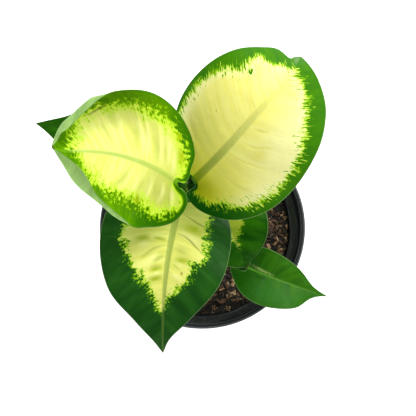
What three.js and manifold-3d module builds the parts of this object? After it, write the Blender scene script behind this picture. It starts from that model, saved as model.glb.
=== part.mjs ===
// A young potted dieffenbachia with six leaves on one short cane, in a round nursery pot.
// Millimetres, +Z up. The origin is the centre of the pot's flat base.
import * as THREE from "three";
import { mergeVertices } from "three/addons/utils/BufferGeometryUtils.js";
import Module from "manifold-3d";

const wasm = await Module();
wasm.setup();

// ---------------------------------------------------------------- driving dimensions

const GAP = 0.3; // clearance between pieces that touch
const SEED = 411;

// Pot: a thin tapered wall, a wider collar above a shoulder, and a rolled lip.
const POT_HEIGHT = 115;
const LIP_RADIUS = 65;
const LIP_WIDTH = 3;
const LIP_DEPTH = 3;
const LIP_ROUND = 1; // rounding of the lip's edges
const COLLAR_RADIUS = 63; // outside, under the lip
const COLLAR_DEPTH = 9; // from the lip's top down to the shoulder
const COLLAR_FLARE = 0.8; // how far the collar leans out from the shoulder up
const SHOULDER_RADIUS = 57.5; // outside of the wall just under the shoulder
const BASE_RADIUS = 47;
const WALL = 1.5;
const BASE_CORNER = 2; // floor thickness, and bevel at the foot
const POT_SIDES = 48;
const DRAIN_HOLES = 8;
const DRAIN_HOLE_RADIUS = 3.5;
const DRAIN_HOLE_SIDES = 16;
const DRAIN_CIRCLE_RADIUS = 33;

// Soil: a filled plug with a lumpy top and bark chips sunk into it.
const SOIL_LEVEL = 103;
const SOIL_SWELL = 1.1; // height of the lumps
const SHORT_SWELL = [3.2, 3.7]; // millimetres to a radian, along x and y
const LONG_SWELL = [9, 6];
const SOIL_EDGE_DROP = 1; // the soil is lower at the pot's wall
const SOIL_RINGS = 5;
const SOIL_SIDES = 32;
const CHIPS = 64;
const CHIP_LENGTH = [4, 8.5];
const CHIP_WIDTH = [0.4, 0.8]; // as a share of its length
const CHIP_THICKNESS = [1.5, 3];
const CHIP_TILT = 20; // degrees, either way
const CHIP_WEAR = 0.44; // how far a corner is worn in, at most, as a share
const CHIP_SPACING = 6;
const CHIP_CLEARANCE = 2; // to the cane and to the pot's wall

// Cane: a short ringed stem that leans a little and stands in a plain hole in the soil.
const CANE_FOOT = [-6, 6, 66];
const CANE_SOIL = [-6, 6, 106];
const CANE_TOP = [-9, 12, 152];
const CANE_RADIUS = 5.2;
const CANE_TOP_RADIUS = 4;
const CANE_SIDES = 12;
const SCAR_SPACING = 8;
const SCAR_HEIGHT = 0.5;

// Leaves: a petiole with a clasping sheath, a midrib and a thin waved blade.
const BLADE_THICKNESS = 0.8;
const BLADE_ROWS = 18; // from the sinus round to the tip
const BLADE_COLUMNS = 4; // from the midrib out to the margin
const ROLLED_COLUMNS = 7; // the same on a leaf whose margins roll up
const VEIN_CROWDING = 1.9; // vein feet crowd towards the base of the blade
const VEIN_SWEEP = 1.5; // veins leave the midrib squarely and then sweep forward
const WAVE_HEIGHT = 1;
const WAVES = 3.5; // on each margin
const RIB_TIP_DEPTH = 0.3; // how far the midrib stands out below the blade, at the tip
const RIB_TAPER = 0.6;
const RIB_EDGE = [0.05, 0.4]; // least and most share of a half blade that slopes down to the rib
const RIB_ROOT = 8; // length over which the petiole runs on into the midrib
const SHEATH_THICKNESS = 2;
const SHEATH_LENGTH = 34;
const SHEATH_TAPER = 1.2;
const SHEATH_RISE = 2; // upright length at the node
const PETIOLE_END = 3; // straight length before the blade
const PETIOLE_SIDES = 8;
const PETIOLE_STEPS = 12;
const GROOVE_DEPTH = 0.2; // of the channel along a petiole, as a share of its radius
const GROOVE_WIDTH = 0.6; // radians

// Each leaf: base is where the petiole meets the blade. heading and pitch are degrees at even steps
// along the midrib, heading from +X towards +Y. fold lifts the halves at the midrib, from the base
// to the tip. Each half has a flat outline of [along, across] points from the sinus to the tip,
// and roll, the degrees that its outer part turns up by, at even steps along the margin,
// beyond the share rollFrom of the half's width. left is on the left looking towards the tip.
// node is the height of the leaf's node on the cane, and via are points that its petiole passes.
const LEAVES = [
  {
    name: "leaf_upper_left",
    base: [-12.7, 2.8, 212],
    length: 85,
    heading: [147.5, 169.5, 189.5, 215],
    pitch: [23, 30.5, 34.5, 83],
    fold: [-9, -9],
    columns: ROLLED_COLUMNS,
    left: {
      outline: [
        [0, 0], [-2, 1], [-7.5, 2.5], [-11.5, 7], [-10.5, 19], [12.5, 36.5],
        [39.5, 43], [63.5, 33], [81.5, 22.5], [83.5, 6], [85, 0],
      ],
      roll: [-54, 16, 107, 122, 163],
      rollFrom: 0.52,
    },
    right: {
      outline: [
        [0, 0], [-2.5, 1], [-4, 5.5], [-2.5, 12], [-0.5, 21], [11.5, 33.5],
        [41.5, 42], [68, 50], [81.5, 27], [81.5, 10], [85, 0],
      ],
      roll: [-28, -7, 124, 232, 179],
      rollFrom: 0.26,
    },
    petiole: { node: 147, via: [[-9.5, 11.5, 163], [-11, 8.5, 188]], radius: 2.3 },
    wave: 0.4,
    color: 0xd6e86a,
  },
  {
    name: "leaf_upper_right",
    base: [-4.7, 9.4, 190],
    length: 108,
    heading: [33, 44, 50, 73.5],
    pitch: [45.5, 33.5, 14.5, -17.5, -48.5],
    fold: [12, 7],
    columns: BLADE_COLUMNS,
    left: {
      outline: [
        [0, 0], [0, 3], [-6.5, 6.5], [-0.5, 19], [9.5, 28.5], [23.5, 35], [43.5, 39],
        [59, 37.5], [76, 31], [90.5, 22], [98.5, 14], [97, 5.5], [101.5, 3.5], [108, 0],
      ],
      roll: [-19, -21, -10, 8, 24],
      rollFrom: 0.1,
    },
    right: {
      outline: [
        [0, 0], [0, 3], [-9, 2.5], [-8, 13.5], [3, 28], [22.5, 40.5],
        [38.5, 43], [61, 39], [75.5, 29.5], [89.5, 14.5], [98, 6.5], [108, 0],
      ],
      roll: [-21, -18, -10, 2, 9],
      rollFrom: 0.1,
    },
    petiole: { node: 139, via: [[-3.5, 13, 152], [-4, 12.5, 172]], radius: 2.4 },
    wave: 0.8,
    color: 0xd9dc66,
  },
  {
    name: "leaf_front",
    base: [-12.3, 2.7, 168],
    length: 100.5,
    heading: [-101, -99, -94, -90.5],
    pitch: [45.5, 17, -21, -47],
    fold: [12, 7],
    columns: BLADE_COLUMNS,
    left: {
      outline: [
        [0, 0], [0, 3], [-3, 9], [1, 24], [16, 31],
        [39, 33.5], [56.5, 29.5], [76, 15.5], [90, 4], [100.5, 0],
      ],
      roll: [-18, -19, -18, -2, 0],
      rollFrom: 0.1,
    },
    right: {
      outline: [
        [0, 0], [0, 3], [-3, 8.5], [1.5, 27], [14.5, 37],
        [37.5, 39.5], [62, 31], [78.5, 16], [91, 5.5], [100.5, 0],
      ],
      roll: [-19, -19, -15, -4, -2],
      rollFrom: 0.1,
    },
    petiole: { node: 131, via: [[-9.5, 4.5, 144], [-11.5, 3, 157]], radius: 2.2 },
    wave: 0.9,
    color: 0x3d7a26,
  },
  {
    name: "leaf_lower_right",
    base: [3, 10, 147],
    length: 55,
    heading: [-49, -61, -64.5, -58.5],
    pitch: [31.5, 12.5, -27, -58.5],
    fold: [12, 5],
    columns: BLADE_COLUMNS,
    left: {
      outline: [
        [0, 0], [0, 3], [-1.5, 6.5], [4, 17], [14, 23],
        [26.5, 24], [39.5, 18], [47.5, 11], [51, 4], [55, 0],
      ],
      roll: [-20, -14, -13, -1, -6],
      rollFrom: 0.1,
    },
    right: {
      outline: [
        [0, 0], [0, 3], [0, 6], [5.5, 14.5], [13, 23],
        [27, 23.5], [38.5, 19.5], [47, 9], [51.5, 4], [55, 0],
      ],
      roll: [-21, -18, -10, -1, 1],
      rollFrom: 0.1,
    },
    petiole: { node: 123, via: [[-0.5, 9, 134]], radius: 2 },
    wave: 0.8,
    color: 0x1c5410,
  },
  {
    name: "leaf_back_left",
    base: [-16, 18, 150],
    length: 97,
    heading: [147, 158, 157, 164],
    pitch: [40, 15, -10, -15],
    fold: [12, 6],
    columns: BLADE_COLUMNS,
    left: {
      outline: [
        [0, 0], [0, 3], [-5, 8], [3, 20], [22, 27],
        [46, 26], [66, 17], [80, 8], [90, 3], [97, 0],
      ],
      roll: [-20, -15, -12, -5, 0],
      rollFrom: 0.1,
    },
    right: {
      outline: [
        [0, 0], [0, 3], [-5, 8], [3, 20], [22, 28],
        [46, 28], [66, 19], [80, 8], [90, 3], [97, 0],
      ],
      roll: [-20, -15, -12, -5, 0],
      rollFrom: 0.1,
    },
    petiole: { node: 115, via: [[-12.5, 12, 130]], radius: 2.1 },
    wave: 0.8,
    color: 0x225c14,
  },
  {
    name: "leaf_small_right",
    base: [28, -29, 127],
    length: 54,
    heading: [-26, -21, -16, -13],
    pitch: [18.5, 0.5, -19, -21.5],
    fold: [15, 7],
    columns: BLADE_COLUMNS,
    left: {
      outline: [
        [0, 0], [0.5, 3], [-3.5, 7], [1.5, 14], [12.5, 15],
        [24.5, 12.5], [34, 8.5], [43, 3], [49, 1], [54, 0],
      ],
      roll: [-17, -11, -6, -2, 0],
      rollFrom: 0.1,
    },
    right: {
      outline: [
        [0, 0], [-0.5, 3], [-10, 4], [-4, 11], [7, 18],
        [20.5, 18.5], [35, 13], [42.5, 5], [47.5, 2], [54, 0],
      ],
      roll: [-15, -8, -8, -3, -4],
      rollFrom: 0.1,
    },
    petiole: { node: 107.5, via: [[1, -1, 115], [14, -16, 122]], radius: 1.7 },
    wave: 0.6,
    color: 0x3f7f1c,
  },
];

// ---------------------------------------------------------------- helpers

const FULL_TURN = 2 * Math.PI;
const MERGE_DISTANCE = 1e-4;

const vec = (p) => new THREE.Vector3(...p);
const radians = THREE.MathUtils.degToRad;
const lerp = THREE.MathUtils.lerp;
const clamp = THREE.MathUtils.clamp;

// A smooth curve through values at even steps, read at x from 0 to 1.
function smoothKeys(values) {
  const curve = new THREE.SplineCurve(values.map((value) => new THREE.Vector2(value, 0)));
  return (x) => curve.getPoint(clamp(x, 0, 1)).x;
}

function smoothPath(points) {
  return new THREE.CatmullRomCurve3(points, false, "centripetal");
}

// A repeatable random number from 0 to 1 at each call.
function randomFrom(seed) {
  let state = seed;
  return () => {
    state = (state * 1664525 + 1013904223) % 4294967296;
    return state / 4294967296;
  };
}

// A point on a level circle round the z axis.
function onCircle(radius, angle, z) {
  return new THREE.Vector3(radius * Math.cos(angle), radius * Math.sin(angle), z);
}

function geometryFrom(points, triangles) {
  const geometry = new THREE.BufferGeometry();
  const numbers = points.flatMap((p) => p.toArray());
  geometry.setAttribute("position", new THREE.Float32BufferAttribute(numbers, 3));
  geometry.setIndex(triangles.flat());
  return geometry;
}

function solidOf(geometry) {
  const bare = geometry.clone();
  bare.deleteAttribute("normal");
  bare.deleteAttribute("uv");
  const merged = mergeVertices(bare, MERGE_DISTANCE);
  return new wasm.Manifold(
    new wasm.Mesh({
      numProp: 3,
      vertProperties: merged.attributes.position.array,
      triVerts: new Uint32Array(merged.index.array),
    }),
  );
}

// The largest body of a solid, so that no loose scrap and no sealed pocket is left.
function wholeBody(solid) {
  return solid.decompose().reduce((best, body) => (body.volume() > best.volume() ? body : best));
}

function geometryOf(solid) {
  const mesh = solid.getMesh();
  const geometry = new THREE.BufferGeometry();
  geometry.setAttribute("position", new THREE.BufferAttribute(mesh.vertProperties, 3));
  geometry.setIndex(new THREE.BufferAttribute(mesh.triVerts, 1));
  geometry.computeVertexNormals();
  return geometry;
}

function piece(name, solid, color, roughness) {
  const material = new THREE.MeshStandardMaterial({ color, roughness, metalness: 0 });
  const mesh = new THREE.Mesh(geometryOf(wholeBody(solid)), material);
  mesh.name = name;
  return mesh;
}

// A solid swept through stations. Each station has a centre, two directions across the sweep
// and radiusAt(angle). The angle turns from x towards y, and x, y and the way on are right-handed.
function sweep(stations, sides) {
  const points = [];
  for (const { centre, x, y, radiusAt } of stations) {
    for (let k = 0; k < sides; k++) {
      const angle = (k / sides) * FULL_TURN;
      const { x: across, y: up } = onCircle(radiusAt(angle), angle, 0);
      points.push(centre.clone().addScaledVector(x, across).addScaledVector(y, up));
    }
  }
  const first = points.push(stations[0].centre.clone()) - 1;
  const last = points.push(stations.at(-1).centre.clone()) - 1;
  const top = (stations.length - 1) * sides;
  const triangles = [];
  for (let k = 0; k < sides; k++) {
    const next = (k + 1) % sides;
    triangles.push([first, next, k], [last, top + k, top + next]);
    for (let row = 0; row < top; row += sides) {
      const above = row + sides;
      triangles.push([row + k, row + next, above + next], [row + k, above + next, above + k]);
    }
  }
  return solidOf(geometryFrom(points, triangles));
}

// ---------------------------------------------------------------- pot

function innerRadiusAt(z) {
  const share = (z - BASE_CORNER) / (POT_HEIGHT - COLLAR_DEPTH - BASE_CORNER);
  return lerp(BASE_RADIUS, SHOULDER_RADIUS, share) - WALL;
}

function makePot() {
  const shoulder = POT_HEIGHT - COLLAR_DEPTH;
  const lipFoot = POT_HEIGHT - LIP_DEPTH;
  const lipInside = LIP_RADIUS - LIP_WIDTH;
  const collarFoot = COLLAR_RADIUS - WALL - COLLAR_FLARE; // inside
  const floorRadius = innerRadiusAt(BASE_CORNER);
  const bevel = LIP_ROUND / 3;
  const profile = [
    [0, 0],
    [BASE_RADIUS - BASE_CORNER, 0],
    [BASE_RADIUS, BASE_CORNER],
    [SHOULDER_RADIUS, shoulder - WALL],
    [collarFoot + COLLAR_FLARE / 2, shoulder - WALL],
    [collarFoot + WALL, shoulder],
    [COLLAR_RADIUS, lipFoot],
    [LIP_RADIUS - LIP_ROUND / 2, lipFoot],
    [LIP_RADIUS, lipFoot + LIP_ROUND],
    [LIP_RADIUS - bevel, POT_HEIGHT - bevel],
    [LIP_RADIUS - LIP_WIDTH / 2, POT_HEIGHT],
    [lipInside + bevel, POT_HEIGHT - bevel],
    [lipInside, POT_HEIGHT - LIP_ROUND],
    [COLLAR_RADIUS - WALL, lipFoot],
    [collarFoot, shoulder + LIP_ROUND],
    [collarFoot - LIP_ROUND, shoulder],
    [innerRadiusAt(shoulder) + LIP_ROUND / 2, shoulder],
    [innerRadiusAt(shoulder - LIP_ROUND), shoulder - LIP_ROUND],
    [floorRadius, BASE_CORNER + LIP_ROUND],
    [floorRadius - LIP_ROUND, BASE_CORNER],
    [0, BASE_CORNER],
  ];
  const outline = profile.map(([r, z]) => new THREE.Vector2(r, z));
  let pot = solidOf(new THREE.LatheGeometry(outline, POT_SIDES).rotateX(Math.PI / 2));
  for (let k = 0; k < DRAIN_HOLES; k++) {
    const centre = onCircle(DRAIN_CIRCLE_RADIUS, (k / DRAIN_HOLES) * FULL_TURN, BASE_CORNER / 2);
    const depth = 3 * BASE_CORNER;
    const hole = new THREE.CylinderGeometry(DRAIN_HOLE_RADIUS, DRAIN_HOLE_RADIUS, depth, DRAIN_HOLE_SIDES);
    hole.rotateX(Math.PI / 2).translate(...centre.toArray());
    pot = pot.subtract(solidOf(hole));
  }
  return pot;
}

// ---------------------------------------------------------------- cane

const BISECTIONS = 24;
const caneAxis = smoothPath([CANE_FOOT, CANE_SOIL, CANE_TOP].map(vec));

function caneRadiusAt(z) {
  const share = clamp((z - CANE_SOIL[2]) / (CANE_TOP[2] - CANE_SOIL[2]), 0, 1);
  return lerp(CANE_RADIUS, CANE_TOP_RADIUS, share);
}

function caneCentreAt(z) {
  let low = 0;
  let high = 1;
  for (let k = 0; k < BISECTIONS; k++) {
    const middle = (low + high) / 2;
    if (caneAxis.getPoint(middle).z < z) low = middle;
    else high = middle;
  }
  return caneAxis.getPoint(low).setZ(z);
}

// Leaf scars stand out of the cane as rings at even steps. The room for it is smooth and wider.
function caneSolid(asRoom = false) {
  const steps = 2 * Math.round((CANE_TOP[2] - CANE_FOOT[2]) / SCAR_SPACING);
  const ends = asRoom ? GAP : 0;
  const stations = [];
  for (let k = 0; k <= steps; k++) {
    const z = lerp(CANE_FOOT[2] - ends, CANE_TOP[2] + ends, k / steps);
    const scar = k % 2 ? SCAR_HEIGHT : 0;
    const radius = caneRadiusAt(z) + (asRoom ? SCAR_HEIGHT + GAP : scar);
    stations.push({
      centre: caneCentreAt(z),
      x: new THREE.Vector3(1, 0, 0),
      y: new THREE.Vector3(0, 1, 0),
      radiusAt: () => radius,
    });
  }
  return sweep(stations, CANE_SIDES);
}

// ---------------------------------------------------------------- soil

const plugRadiusAt = (z) => innerRadiusAt(z) - GAP;

function soilHeightAt(x, y) {
  const short = Math.sin(x / SHORT_SWELL[0] + 1) * Math.cos(y / SHORT_SWELL[1]);
  const long = Math.sin(x / LONG_SWELL[0] - y / LONG_SWELL[1] + 2);
  return SOIL_LEVEL + SOIL_SWELL * (short + long / 2);
}

// The plug of soil, as rings from the middle of its foot, up its side and in over its top.
function soilPlug() {
  const foot = BASE_CORNER + GAP;
  const footTop = foot + BASE_CORNER;
  const points = [new THREE.Vector3(0, 0, foot), new THREE.Vector3(0, 0, soilHeightAt(0, 0))];
  const rings = [];
  const addRing = (radius, heightAt) => {
    rings.push(points.length);
    for (let k = 0; k < SOIL_SIDES; k++) {
      const point = onCircle(radius, (k / SOIL_SIDES) * FULL_TURN, 0);
      points.push(point.setZ(heightAt(point.x, point.y)));
    }
  };
  addRing(plugRadiusAt(footTop) - BASE_CORNER, () => foot);
  addRing(plugRadiusAt(footTop), () => footTop);
  addRing(plugRadiusAt(SOIL_LEVEL - SOIL_EDGE_DROP), () => SOIL_LEVEL - SOIL_EDGE_DROP);
  for (let k = SOIL_RINGS - 1; k >= 1; k--) {
    addRing((plugRadiusAt(SOIL_LEVEL) * k) / SOIL_RINGS, soilHeightAt);
  }
  const triangles = [];
  for (let k = 0; k < SOIL_SIDES; k++) {
    const next = (k + 1) % SOIL_SIDES;
    triangles.push([0, rings[0] + next, rings[0] + k]);
    triangles.push([1, rings.at(-1) + k, rings.at(-1) + next]);
    for (let r = 0; r + 1 < rings.length; r++) {
      const [a, b] = [rings[r], rings[r + 1]];
      triangles.push([a + k, a + next, b + next], [a + k, b + next, b + k]);
    }
  }
  return solidOf(geometryFrom(points, triangles));
}

// A broken piece of bark: a small slab with its corners worn in by random shares.
function makeChip(random) {
  const length = lerp(...CHIP_LENGTH, random());
  const width = length * lerp(...CHIP_WIDTH, random());
  const chip = new THREE.BoxGeometry(length, width, lerp(...CHIP_THICKNESS, random()));
  const position = chip.getAttribute("position");
  const wear = new Map();
  for (let k = 0; k < position.count; k++) {
    const corner = new THREE.Vector3().fromBufferAttribute(position, k);
    const key = corner.toArray().map(Math.sign).join();
    if (!wear.has(key)) wear.set(key, [0, 0, 0].map(() => 1 - CHIP_WEAR * random()));
    corner.multiply(vec(wear.get(key)));
    position.setXYZ(k, ...corner.toArray());
  }
  const tilt = () => radians(lerp(-CHIP_TILT, CHIP_TILT, random()));
  return chip.rotateX(tilt()).rotateY(tilt()).rotateZ(random() * FULL_TURN);
}

function makeSoil() {
  const random = randomFrom(SEED);
  const room = CHIP_LENGTH[1] / 2 + CHIP_CLEARANCE;
  const cane = caneCentreAt(SOIL_LEVEL);
  const placed = [];
  let soil = soilPlug();
  while (placed.length < CHIPS) {
    const radius = (plugRadiusAt(SOIL_LEVEL) - room) * Math.sqrt(random());
    const spot = onCircle(radius, random() * FULL_TURN, SOIL_LEVEL);
    const clearOfCane = spot.distanceTo(cane) > CANE_RADIUS + room;
    const clearOfChips = placed.every((other) => spot.distanceTo(other) > CHIP_SPACING);
    if (!clearOfCane || !clearOfChips) continue;
    placed.push(spot);
    soil = soil.add(solidOf(makeChip(random).translate(spot.x, spot.y, soilHeightAt(spot.x, spot.y))));
  }
  return soil.subtract(caneSolid(true));
}

// ---------------------------------------------------------------- leaves

const MIDRIB_STEPS = 80;
const NORMAL_STEP = [0.004, 0.03]; // shares along and across a half blade
const LEAST_TURN = 1e-4; // radians, so that a flat row has a bend to divide by
const LEAST_WIDTH = 0.01;

// The midrib's own frame at a distance u from the blade's base: point, way on, left and up.
function midribOf(leaf) {
  const heading = smoothKeys(leaf.heading);
  const pitch = smoothKeys(leaf.pitch);
  const wayOn = (x) => {
    const rise = radians(pitch(x));
    return onCircle(Math.cos(rise), radians(heading(x)), Math.sin(rise));
  };
  const points = [vec(leaf.base)];
  for (let k = 0; k < MIDRIB_STEPS; k++) {
    const step = wayOn((k + 0.5) / MIDRIB_STEPS).multiplyScalar(leaf.length / MIDRIB_STEPS);
    points.push(step.add(points[k]));
  }
  return (u) => {
    const x = clamp(u / leaf.length, 0, 1);
    const tangent = wayOn(x);
    const left = onCircle(1, radians(heading(x)) + Math.PI / 2, 0);
    const index = Math.min(Math.floor(x * MIDRIB_STEPS), MIDRIB_STEPS - 1);
    const point = points[index].clone().lerp(points[index + 1], x * MIDRIB_STEPS - index);
    point.addScaledVector(tangent, u - x * leaf.length);
    return { point, tangent, left, up: tangent.clone().cross(left) };
  };
}

// A half blade's middle surface at s from the sinus to the tip, and t from midrib to margin.
function surfaceOf(leaf, side) {
  const half = side > 0 ? leaf.left : leaf.right;
  const midrib = midribOf(leaf);
  const margin = smoothPath(half.outline.map(([u, v]) => new THREE.Vector3(u, v, 0)));
  const rollAt = smoothKeys(half.roll);
  const widthAt = (s) => Math.max(margin.getPointAt(s).y, LEAST_WIDTH);
  const at = (s, t) => {
    const width = widthAt(s);
    const foot = leaf.length * s ** VEIN_CROWDING;
    const { point, left, up } = midrib(lerp(foot, margin.getPointAt(s).x, t ** VEIN_SWEEP));
    const fold = radians(lerp(...leaf.fold, s));
    const turn = radians(rollAt(s)) || LEAST_TURN;
    const bend = turn / (width * (1 - half.rollFrom)); // radians per millimetre across
    const flat = Math.min(t, half.rollFrom) * width;
    const slope = fold + bend * (t * width - flat);
    const out = flat * Math.cos(fold) + (Math.sin(slope) - Math.sin(fold)) / bend;
    const rise = flat * Math.sin(fold) - (Math.cos(slope) - Math.cos(fold)) / bend;
    const swell = Math.sin(Math.PI * s) * Math.sin(s * WAVES * FULL_TURN);
    const wave = WAVE_HEIGHT * leaf.wave * t * t * swell;
    point.addScaledVector(left, side * (out - wave * Math.sin(slope)));
    return point.addScaledVector(up, rise + wave * Math.cos(slope));
  };
  return { at, widthAt };
}

// The upward normal of a half blade, from small steps along and across it.
function normalAt(surface, s, t, side) {
  const along = surface.at(s + NORMAL_STEP[0], t).sub(surface.at(s - NORMAL_STEP[0], t));
  const across = surface.at(s, t).sub(surface.at(s, t - NORMAL_STEP[1]));
  return along.cross(across).multiplyScalar(side).normalize();
}

// How far the midrib stands out below the blade, at a share of the blade's length.
function ribDepthAt(leaf, share) {
  return lerp(2 * leaf.petiole.radius - BLADE_THICKNESS, RIB_TIP_DEPTH, share ** RIB_TAPER);
}

function bladeSolid(leaf) {
  const midrib = midribOf(leaf);
  const points = [];
  const triangles = [];
  // Adds a point of the top face, and the one under it, and gives the place of the first.
  const place = (point, normal, depth) => {
    points.push(point.clone().addScaledVector(normal, BLADE_THICKNESS / 2));
    points.push(point.clone().addScaledVector(normal, -BLADE_THICKNESS / 2 - depth));
    return points.length - 2;
  };
  const spine = [];
  for (let row = 0; row <= BLADE_ROWS; row++) {
    const share = (row / BLADE_ROWS) ** VEIN_CROWDING;
    const { point, up } = midrib(leaf.length * share);
    spine.push(place(point, up, ribDepthAt(leaf, share)));
  }
  for (const side of [1, -1]) {
    const surface = surfaceOf(leaf, side);
    const face = (a, b, c) => {
      const [second, third] = side > 0 ? [b, c] : [c, b];
      triangles.push([a, second, third], [a + 1, third + 1, second + 1]);
    };
    const grid = spine.map((start, row) => {
      if (row === 0 || row === BLADE_ROWS) return Array(leaf.columns + 1).fill(start);
      const s = row / BLADE_ROWS;
      const ribEdge = clamp(ribDepthAt(leaf, s) / surface.widthAt(s), ...RIB_EDGE);
      const columns = [start];
      for (let column = 1; column <= leaf.columns; column++) {
        const t = lerp(ribEdge, 1, (column - 1) / (leaf.columns - 1));
        columns.push(place(surface.at(s, t), normalAt(surface, s, t, side), 0));
      }
      return columns;
    });
    for (let row = 0; row < BLADE_ROWS; row++) {
      for (let column = 0; column < leaf.columns; column++) {
        const [a, b] = [grid[row][column], grid[row][column + 1]];
        const [c, d] = [grid[row + 1][column + 1], grid[row + 1][column]];
        if (a !== b) face(a, d, b);
        if (c !== d) face(b, d, c);
      }
      const [near, far] = [grid[row][leaf.columns], grid[row + 1][leaf.columns]];
      const [from, to] = side > 0 ? [far, near] : [near, far];
      triangles.push([from, from + 1, to + 1], [from, to + 1, to]);
    }
  }
  return solidOf(geometryFrom(points, triangles));
}

// The petiole from its sheath on the cane up to the blade, where it runs on into the midrib.
function petioleSolid(leaf, extra = 0) {
  const { node, via, radius } = leaf.petiole;
  const midrib = midribOf(leaf);
  const start = caneCentreAt(node);
  const sheath = caneRadiusAt(node) + SHEATH_THICKNESS;
  const { point: base, tangent: wayOn, left, up } = midrib(0);
  const end = base.clone().addScaledVector(up, BLADE_THICKNESS / 4 - radius);
  const path = smoothPath([
    start,
    start.clone().setZ(node + SHEATH_RISE),
    ...via.map(vec),
    end.clone().addScaledVector(wayOn, -PETIOLE_END),
    end,
  ]);
  const length = path.getLength();
  const root = midrib(RIB_ROOT);
  const rootRadius = ribDepthAt(leaf, RIB_ROOT / leaf.length) / 4;
  const rootCentre = root.point.addScaledVector(root.up, -rootRadius);
  const stations = [
    { centre: rootCentre, x: root.left, y: root.up, radiusAt: () => rootRadius + extra },
    { centre: end, x: left, y: up, radiusAt: () => radius + extra },
  ];
  let x = left;
  for (let k = PETIOLE_STEPS - 1; k >= 0; k--) {
    const share = k / PETIOLE_STEPS;
    const tangent = path.getTangentAt(share);
    x = x.clone().addScaledVector(tangent, -x.dot(tangent)).normalize();
    const fade = Math.max(0, 1 - (length * share) / SHEATH_LENGTH) ** SHEATH_TAPER;
    const groove = GROOVE_DEPTH * (1 - fade) * Math.min(1, 4 * (1 - share));
    const body = lerp(radius, sheath, fade) + extra;
    const radiusAt = (angle) => {
      const fromTop = (angle - Math.PI / 2) / GROOVE_WIDTH;
      return body * (1 - groove * Math.exp(-fromTop * fromTop));
    };
    stations.push({ centre: path.getPointAt(share), x, y: tangent.clone().cross(x), radiusAt });
  }
  return sweep(stations.reverse(), PETIOLE_SIDES);
}

// ---------------------------------------------------------------- the plant in its pot

const plant = new THREE.Group();
plant.add(piece("pot", makePot(), 0x1b1d1e, 0.4));
plant.add(piece("soil", makeSoil(), 0x3a2c20, 0.95));
plant.add(piece("cane", caneSolid(), 0x6f8f3c, 0.5));

// From the newest leaf outwards and down, each sheath wraps the cane and the petioles inside it.
let inner = caneSolid(true);
for (const leaf of LEAVES) {
  const petiole = petioleSolid(leaf).subtract(inner);
  plant.add(piece(leaf.name, petiole.add(bladeSolid(leaf)), leaf.color, 0.35));
  inner = inner.add(petioleSolid(leaf, GAP));
}

export default plant;
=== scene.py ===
# A young potted dieffenbachia with six leaves on one short cane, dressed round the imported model.
import math

import bpy
import numpy as np
from mathutils import Matrix, Vector


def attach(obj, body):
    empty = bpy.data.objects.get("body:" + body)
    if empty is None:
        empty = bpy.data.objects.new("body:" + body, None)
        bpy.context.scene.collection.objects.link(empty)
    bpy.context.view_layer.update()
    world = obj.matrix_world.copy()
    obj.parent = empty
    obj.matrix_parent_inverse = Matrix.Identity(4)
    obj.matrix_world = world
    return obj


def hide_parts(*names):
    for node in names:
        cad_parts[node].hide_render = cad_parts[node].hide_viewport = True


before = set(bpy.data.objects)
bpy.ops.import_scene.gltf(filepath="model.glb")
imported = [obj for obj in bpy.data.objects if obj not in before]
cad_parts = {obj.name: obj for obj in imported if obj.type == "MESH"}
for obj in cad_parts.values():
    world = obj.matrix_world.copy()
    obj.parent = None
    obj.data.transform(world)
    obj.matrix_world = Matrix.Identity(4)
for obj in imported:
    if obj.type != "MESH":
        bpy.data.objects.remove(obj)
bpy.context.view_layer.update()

# ---------------------------------------------------------------- sizes, in millimetres and degrees

MM = 0.001
FULL_TURN = 2 * math.pi
SEED = 411
GAP = 0.3  # clearance between pieces that touch

# Pot: a thin tapered wall, a wider collar above a shoulder, and a rolled lip.
POT_HEIGHT = 115
LIP_RADIUS = 65
LIP_WIDTH = 3
LIP_DEPTH = 3
COLLAR_RADIUS = 63
COLLAR_DEPTH = 9
COLLAR_FLARE = 0.8
SHOULDER_RADIUS = 57.5
BASE_RADIUS = 47
WALL = 1.5
BASE_CORNER = 2
POT_SIDES = 192
DRAIN_HOLES = 8
DRAIN_HOLE_RADIUS = 3.5
DRAIN_CIRCLE_RADIUS = 33
HOLE_SIDES = 32
POT_GLOSS = 0.34
LEDGE_LOW = (105.2, 105.8)  # the dusty ledge inside fades in, and out again, over these heights
LEDGE_HIGH = (109, 106.6)
LIP_HIGHLIGHT_LINES = ((64.35, 0.5), (62.3, 0.35))  # radius and half width of the painted highlight lines along the edges of the lip
LIP_HIGHLIGHT_HEIGHT = (113.5, 114.5)

# Soil: a filled plug with a lumpy top and bark chips sunk into it.
SOIL_LEVEL = 103
SOIL_SWELL = 1.1
SHORT_SWELL = (3.2, 3.7)
LONG_SWELL = (9, 6)
SOIL_EDGE_DROP = 1
SOIL_SIDES = 420
SOIL_RINGS = 92
CHIPS = 64
CHIP_LENGTH = (4, 8.5)
CHIP_WIDTH = (0.4, 0.8)
CHIP_THICKNESS = (1.5, 3)
CHIP_TILT = 20
CHIP_WEAR = 0.44
CHIP_SPACING = 6
CHIP_CLEARANCE = 2
CHIP_GRID = 5
CHIP_BEVEL = 0.2
CHIP_BUMPS = (0.35, 1.3)  # height and size
CRUMBS = 3200
CRUMB_LENGTH = (1.6, 5.5)
CRUMB_WIDTH = (0.22, 0.6)
CRUMB_THICKNESS = (0.2, 0.45)
CRUMB_TILT = 40
CRUMB_WEAR = 0.45
CRUMB_GRID = 2
CRUMB_BEVEL = 0.15
CRUMB_BUMPS = (0.06, 0.5)  # height and size, of the crumb's length
CRUMB_RISE = (-0.3, 0.6)
CRUMB_WALL_ROOM = 1.2
CRUMB_CANE_ROOM = 2.5
GRAINS = 46
GRAIN_SIZE = (0.5, 1.2)
GRAIN_BEVEL = 0.42
GRAIN_BUMPS = (0.06, 0.4)
GRAIN_RISE = 0.9
GRAIN_WALL_ROOM = 2

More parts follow.
